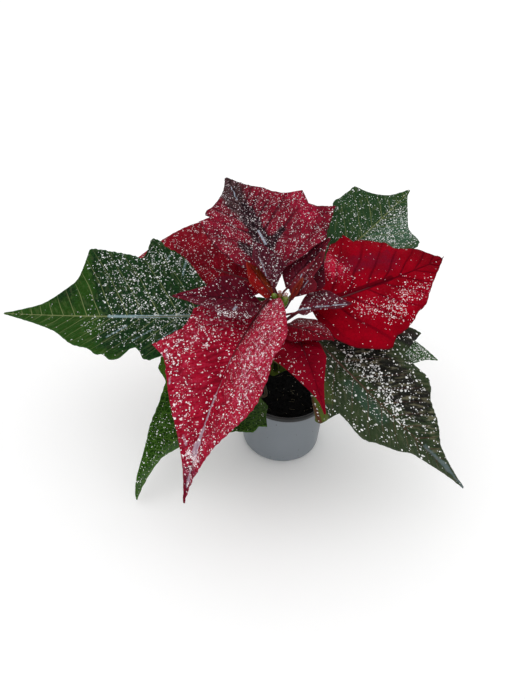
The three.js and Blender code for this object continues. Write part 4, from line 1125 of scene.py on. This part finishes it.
def potSkin():
    # Injection-moulded polypropylene: even blue-grey, satin, a little clouded, its rolled lip nearly black,
    # partly a darker plastic and partly painted shade under the roll
    # Grains by their size in mm: clouds of colour, specks, the mould's fine texture
    cloudSize, speckSize, grainSize = 14.29, 5.882, 1.111
    material, tree = newMaterial("moulded polypropylene")
    place = addNode(tree, placeNode).outputs["Object"]
    height = addNode(tree, "ShaderNodeSeparateXYZ", inputs={0: place}).outputs["Z"]
    cloud = addNode(tree, noiseNode, inputs={"Vector": place, "Scale": scaleOf(cloudSize), "Detail": 4})
    specks = addNode(tree, cellNode, inputs={"Vector": place, "Scale": scaleOf(speckSize)})
    grain = addNode(tree, noiseNode, inputs={"Vector": place, "Scale": scaleOf(grainSize), "Detail": 2})
    isSpeck = addNode(tree, mathNode, {"operation": "LESS_THAN"}, {0: specks, 1: 0.06})
    lipBottom = pot["lipBottom"] * mm
    # The lip's near-black is partly painted shade under the rolled lip
    onLip = addNode(tree, rampNode, inputs={
        "Value": height, "From Min": lipBottom - 0.05 * mm, "From Max": lipBottom + 0.1 * mm})
    colour = addNode(tree, "ShaderNodeRGB")
    colour.outputs[0].default_value = linear(pot["colour"])
    for share, tone in ((cloud, "cloud"), (isSpeck, "speck"), (onLip, "lipShadeColour")):
        colour = addNode(tree, mixNode, inputs={
            "Fac": share, "Color1": colour, "Color2": linear(pot[tone])})
    rough = addNode(tree, rampNode, inputs={
        "Value": cloud, "From Min": 0.3, "From Max": 0.7, "To Min": 0.42, "To Max": 0.52})
    bump = addNode(tree, bumpNode, inputs={"Strength": 0.15, "Distance": 0.2 * mm, "Height": grain})
    return finishMaterial(material, {"Base Color": colour, "Roughness": rough, "IOR": 1.49, "Normal": bump})


def addPot():
    rings = potRings()
    deselectAll()
    bpy.ops.mesh.primitive_circle_add(vertices=pot["sides"], radius=rings[0][0] * mm, fill_type="NGON")
    shell = bpy.context.object
    shell.name = shell.data.name = "pot_shell"
    bpy.ops.object.mode_set(mode="EDIT")
    bpy.ops.mesh.select_all(action="SELECT")
    pullRings(rings)
    bpy.ops.object.mode_set(mode="OBJECT")
    cleanShell()
    for i in range(pot["drains"]):
        angle = math.pi * (2 * i + 1) / pot["drains"]
        place = Vector((math.cos(angle), math.sin(angle), 0)) * pot["drainCircle"] * mm
        deselectAll()
        bpy.ops.mesh.primitive_cylinder_add(
            vertices=32, radius=pot["drainRadius"] * mm, depth=pot["drillLength"] * mm, location=place)
        drill = bpy.context.object
        applyModifier(shell, "BOOLEAN", object=drill, operation="DIFFERENCE", solver="EXACT")
        bpy.data.objects.remove(drill)
    softByAngle(shell, 35)
    shell.data.materials.append(potSkin())
    ontoRoot(shell, "pot_plastic", "pot")


addPot()

print("soil")
# Fine peat with a rough crust: mm
# Lumps are (size, rise); crumbs and chips are (count, sizes, flatness, how deep they sink)
soil = dict(
    below=3, edgeDip=0.8, edgeFrom=0.85, step=0.62, wallGap=0.12, bottom=1.4,
    lumps=((7, 0.7), (2.6, 0.5), (1.1, 0.4)),
    crumbs=(420, (0.35, 1.15), 0.7, 0.25), chips=(16, (0.2, 0.42), 0.6, 0), rimGap=1.2,
    fibres=34, fibreLength=(1.5, 4.5), fibreRadius=0.11, fibreBend=0.7, fibreLift=0.1, fibreArch=0.35,
    fibreRimGap=4, turns=(0, 6.3),  # any way round, in radians
    colour="#020202", lump="#060504", fibre="#7A7258", fibreDark="#3A3222", chip="#C9C4B4",
    chipDark="#8A8474",
)
draw = np.random.default_rng(11)


def soilHeight(x, y, reach):
    height = np.full(x.shape, pot["height"] - soil["below"])
    for i, (size, rise) in enumerate(soil["lumps"]):
        height += rise * smoothNoise(x, y, size, 40 + i)
    away = (np.hypot(x, y) / reach - soil["edgeFrom"]) / (1 - soil["edgeFrom"])
    return height - soil["edgeDip"] * np.clip(away, 0, 1) ** 2


def wallAt(height):
    # How far the soil reaches at a height, just clear of the pot's wall
    foot = pot["foot"] - pot["wall"]
    rise = (height - pot["footRounding"]) / (pot["lipBottom"] - pot["footRounding"])
    return foot + (pot["rim"] - pot["lipWidth"] - foot) * rise - soil["wallGap"]


soilReach = wallAt(pot["height"] - soil["below"])


def soilBody():
    steps = int(2 * soilReach / soil["step"])
    deselectAll()
    bpy.ops.mesh.primitive_grid_add(x_subdivisions=steps, y_subdivisions=steps, size=2)
    body = bpy.context.object
    body.name = body.data.name = "peat_bed"
    a, b = meshPoints(body.data)[:, :2].T
    # The square grid is drawn onto a disc, ring by ring
    wide = np.abs(a) > np.abs(b)
    ring = np.where(wide, a, b)
    safe = np.where(np.abs(ring) < 1e-9, 1, ring)
    angle = np.where(wide, np.pi / 4 * b / safe, np.pi / 2 - np.pi / 4 * a / safe)
    x, y = soilReach * ring * np.cos(angle), soilReach * ring * np.sin(angle)
    spots = np.stack([x, y, soilHeight(x, y, soilReach)], 1) * mm
    body.data.vertices.foreach_set("co", spots.ravel())
    # Down the wall from the edge, in round the pot's foot, and closed flat
    bpy.ops.object.mode_set(mode="EDIT")
    bpy.ops.mesh.select_mode(type="EDGE")
    bpy.ops.mesh.select_all(action="DESELECT")
    bpy.ops.mesh.select_non_manifold()
    turn, bottom = pot["footRounding"], soil["bottom"]
    top = pot["height"] - soil["below"] - soil["edgeDip"]
    pullRings([
        (soilReach, top), (wallAt(turn), turn), (pot["foot"] - turn - 0.5 * pot["wall"], bottom)])
    bpy.ops.transform.resize(value=(1, 1, 0), center_override=(0, 0, bottom * mm))
    bpy.ops.mesh.edge_face_add()
    bpy.ops.object.mode_set(mode="OBJECT")
    cleanShell()
    softByAngle(body, 50)
    return body


def scattered(name, points, faces, count, sizes, flatness, sunk):
    # Many small lumps lying on the peat, each turned and drawn out its own way
    reach = soilReach - soil["rimGap"]
    spots = []
    for _ in range(count):
        away, around = reach * math.sqrt(draw.random()), 2 * math.pi * draw.random()
        x, y = away * math.cos(around), away * math.sin(around)
        size = draw.uniform(*sizes)
        turn = np.array(Matrix.Rotation(draw.uniform(*soil["turns"]), 3, draw.normal(size=3)))
        shape = points * draw.uniform(0.6, 1.2, (len(points), 1)) * size @ turn.T * [1, 1, flatness]
        height = soilHeight(np.array([x]), np.array([y]), soilReach)[0] + size * flatness * (0.5 - sunk)
        spots.append(shape + [x, y, height])
    return repeated(name, np.array(spots) * mm, faces)


def fibre():
    # A rootlet or bit of moss lying loosely over the crumbs
    reach = soilReach - soil["fibreRimGap"]
    away, heading = reach * math.sqrt(draw.random()), draw.uniform(*soil["turns"])
    around = draw.uniform(*soil["turns"])
    spot = np.array([away * math.cos(around), away * math.sin(around)])
    length, bend = draw.uniform(*soil["fibreLength"]), draw.uniform(-soil["fibreBend"], soil["fibreBend"])
    route = []
    for share in np.linspace(0, 1, 6):
        angle = heading + bend * share
        place = spot + length * share * np.array([math.cos(angle), math.sin(angle)])
        height = soilHeight(place[:1], place[1:], soilReach)[0] + soil["fibreLift"]
        route.append([*place, height + soil["fibreArch"] * math.sin(math.pi * share)])
    return tubeAlong("fibre", np.array(route) * mm, np.full(6, soil["fibreRadius"]) * mm, sides=4)


def peatSkin():
    # Moist milled peat: nearly black, dull, a few browner lumps under 2 mm
    material, tree = newMaterial("moist milled peat")
    place = addNode(tree, placeNode).outputs["Object"]
    lump = addNode(tree, noiseNode, inputs={"Vector": place, "Scale": scaleOf(1.667), "Detail": 4})
    share = addNode(tree, rampNode, inputs={"Value": lump, "From Min": 0.55, "From Max": 0.75})
    colour = addNode(tree, mixNode, inputs={
        "Fac": share, "Color1": linear(soil["colour"]), "Color2": linear(soil["lump"])})
    bump = addNode(tree, bumpNode, inputs={"Strength": 0.7, "Distance": 0.4 * mm, "Height": lump})
    return finishMaterial(material, {
        "Base Color": colour, "Roughness": 0.9, "IOR": 1.4, "Specular IOR Level": 0.12, "Normal": bump})


def plainSkin(name, light, dark, size, rough):
    # One natural stuff in two close tones, with grains of a size in mm
    material, tree = newMaterial(name)
    place = addNode(tree, placeNode).outputs["Object"]
    drift = addNode(tree, noiseNode, inputs={"Vector": place, "Scale": scaleOf(size), "Detail": 3})
    tone = addNode(tree, mixNode, inputs={"Fac": drift, "Color1": linear(light), "Color2": linear(dark)})
    bump = addNode(tree, bumpNode, inputs={"Strength": 0.3, "Distance": 0.2 * mm, "Height": drift})
    return finishMaterial(material, {"Base Color": tone, "Roughness": rough, "IOR": 1.45, "Normal": bump})


def addSoil():
    bed = soilBody()
    deselectAll()
    bpy.ops.mesh.primitive_ico_sphere_add(subdivisions=1, radius=1)
    crumbShape = takeShape()
    crumbs = scattered("crumbs", *crumbShape, *soil["crumbs"])
    chips = scattered("chips", *crumbShape, *soil["chips"])
    fibres = [fibre() for _ in range(soil["fibres"])]
    skins = [
        peatSkin(),
        plainSkin("dry moss fibre", soil["fibre"], soil["fibreDark"], 2.5, 0.8),
        plainSkin("perlite chip", soil["chip"], soil["chipDark"], 1.111, 0.7),
    ]
    for obj, number in [(bed, 0), (crumbs, 0), (chips, 2), *((each, 1) for each in fibres)]:
        wearSkins(obj, skins, number)
    joinAll(bed, [crumbs, chips, *fibres])
    ontoRoot(bed, "peat", "potting_soil")


addSoil()

print("flower head")
# The cups and buds at the stem's top, in mm: each has a foot and a tip, an open one lobes and stamens
head = dict(
    seat=(-7.5, 0.7, 132.3), stalk=0.9,
    colour="#5E7A16", shade="#33500C", blush="#7A2A1E", lip="#A8B048",
    stamen="#E8C8C4", stamenRed="#9A2A34",
    buds=[
        dict(foot=(-5.5, -4.4, 132), tip=(-4.5, -5.8, 142.6), radius=2.2, stamens=5, lobes=4, blush=0.05),
        dict(foot=(-11.2, -3, 138.2), tip=(-12.9, -4.5, 142.4), radius=1.9, stamens=0, lobes=0, blush=0),
        dict(foot=(-8, -1.8, 135.5), tip=(-8.4, -1.6, 142), radius=1.9, stamens=7, lobes=5, blush=0.8),
        dict(foot=(-7.4, -4.4, 134.2), tip=(-8, -6.6, 139.5), radius=1.8, stamens=0, lobes=0, blush=0.2),
    ],
    # From here on as shares of a cup's radius or half length
    seam=0.07, seamWidth=0.22, seamFrom=-0.6, belly=0.08,
    mouthAt=0.78, mouthLength=0.22, lipRise=0.16, hollow=0.5, lobeAt=0.82, lobeWidth=0.07, lobeRise=0.14,
    lipFrom=0.45, lipSlope=1.5, lipShow=0.7, budLipShow=0.35, blushSlope=1.4, blushBase=0.4,
    # A stamen as (outwards, up, radius in mm), with its knob near the end
    stamenSpread=0.42, stamenTurn=0.4,
    stamenShape=[(0.4, 0.3, 0.16), (0.8, 0.8, 0.16), (1, 1, 0.18), (1.05, 1.1, 0.42), (1.1, 1.25, 0.36),
                 (1.1, 1.3, 0.12)],
)


def cupSkin():
    # Young waxy cup: fresh green in drifts of 2 mm, glossy, reddened at its mouth
    material, tree = newMaterial("waxy flower cup")
    place = addNode(tree, placeNode).outputs["Object"]
    drift = addNode(tree, noiseNode, inputs={"Vector": place, "Scale": scaleOf(2), "Detail": 3})
    lip = addNode(tree, layerNode, {"attribute_name": "lip"}).outputs["Fac"]
    blush = addNode(tree, layerNode, {"attribute_name": "blush"}).outputs["Fac"]
    colour = addNode(tree, "ShaderNodeRGB")
    colour.outputs[0].default_value = linear(head["colour"])
    for share, tone in ((drift, "shade"), (lip, "lip"), (blush, "blush")):
        colour = addNode(tree, mixNode, inputs={
            "Fac": share, "Color1": colour, "Color2": linear(head[tone])})
    return finishMaterial(material, {
        "Base Color": colour, "Roughness": 0.25, "IOR": 1.45, "Coat Weight": 0.3, "Coat Roughness": 0.1})


def addCup(bud):
    # An egg with shallow seams; an open one has its mouth pushed in, with lobes round it
    foot, tip = np.array(bud["foot"], float), np.array(bud["tip"], float)
    half = np.linalg.norm(tip - foot) / 2
    deselectAll()
    bpy.ops.mesh.primitive_uv_sphere_add(segments=24, ring_count=20, radius=1)
    body = bpy.context.object
    body.name = body.data.name = "cup"
    x, y, rise = meshPoints(body.data).T
    around = np.arctan2(y, x)
    seams = np.exp(-(np.sin(around * (bud["lobes"] or 2) / 2) / head["seamWidth"]) ** 2)
    seams = 1 - head["seam"] * seams * np.clip(rise - head["seamFrom"], 0, 1)
    width = bud["radius"] * seams * (1 + head["belly"] * np.cos(np.pi * rise))
    height = rise * half
    if bud["lobes"]:
        mouth = np.clip((rise - head["mouthAt"]) / head["mouthLength"], 0, 1)
        pushed = head["mouthAt"] + head["lipRise"] * np.sin(mouth * np.pi) - head["hollow"] * mouth ** 2
        height = np.where(rise > head["mouthAt"], half * pushed, height)
        ridge = np.exp(-((rise - head["lobeAt"]) / head["lobeWidth"]) ** 2)
        height += ridge * half * head["lobeRise"] * np.cos(around * bud["lobes"])
    shaped = np.stack([x * width, y * width, height], 1)
    turn = np.array(Vector((0, 0, 1)).rotation_difference(Vector(tip - foot)).to_matrix())
    body.data.vertices.foreach_set("co", placed(shaped @ turn.T + (foot + tip) / 2).ravel())
    lip = np.clip((rise - head["lipFrom"]) * head["lipSlope"], 0, 1)
    addFloats(body.data, "lip", lip * head["lipShow" if bud["lobes"] else "budLipShow"])
    blush = np.clip(rise * head["blushSlope"] + head["blushBase"], 0, 1)
    addFloats(body.data, "blush", blush * bud["blush"])
    return body, turn, half


def stamen(bud, turn, half, number):
    # A thin stalk out of the mouth with a pale knob
    angle = 2 * math.pi * number / bud["stamens"] + head["stamenTurn"]
    spread = bud["radius"] * head["stamenSpread"]
    middle = (np.array(bud["foot"]) + bud["tip"]) / 2
    local = [np.array([spread * out * math.cos(angle), spread * out * math.sin(angle), half * rise])
             for out, rise, _ in head["stamenShape"]]
    radii = np.array([radius for _, _, radius in head["stamenShape"]])
    return tubeAlong("stamen", placed(np.array(local) @ turn.T + middle), radii * mm, sides=8)


def addFlowerHead():
    skins = [cupSkin(), plainSkin("dry stamen knob", head["stamen"], head["stamenRed"], 0.6667, 0.6)]
    pieces = []
    for bud in head["buds"]:
        body, turn, half = addCup(bud)
        middle = (np.array(bud["foot"]) + bud["tip"]) / 2
        route = smoothRoute([head["seat"], bud["foot"], middle], perPart=6)
        stalk = tubeAlong("cup_stalk", placed(route), np.full(len(route), head["stalk"]) * mm)
        pieces += [(body, 0), (stalk, 0)]
        pieces += [(stamen(bud, turn, half, number), 1) for number in range(bud["stamens"])]
    for obj, number in pieces:
        wearSkins(obj, skins, number)
        softByAngle(obj, plant["softAngle"])
    flower = pieces[0][0]
    joinAll(flower, [obj for obj, _ in pieces[1:]])
    flower.name = flower.data.name = "cups_and_buds"
    ontoRoot(flower, "flower", "flower_head")


addFlowerHead()

print("stem")
stemRadii = np.linspace(plant["stemFoot"], plant["stemTop"], len(stemRoute))
stem = tubeAlong("stem_tube", placed(stemRoute), stemRadii * mm, sides=16)
softByAngle(stem, plant["softAngle"])
# Young wood: green-brown bark, satin
stem.data.materials.append(stalkSkin("young woody stem", "#5C5A33", "#4A3A24"))
ontoRoot(stem, "stem", "stem")

print("done")
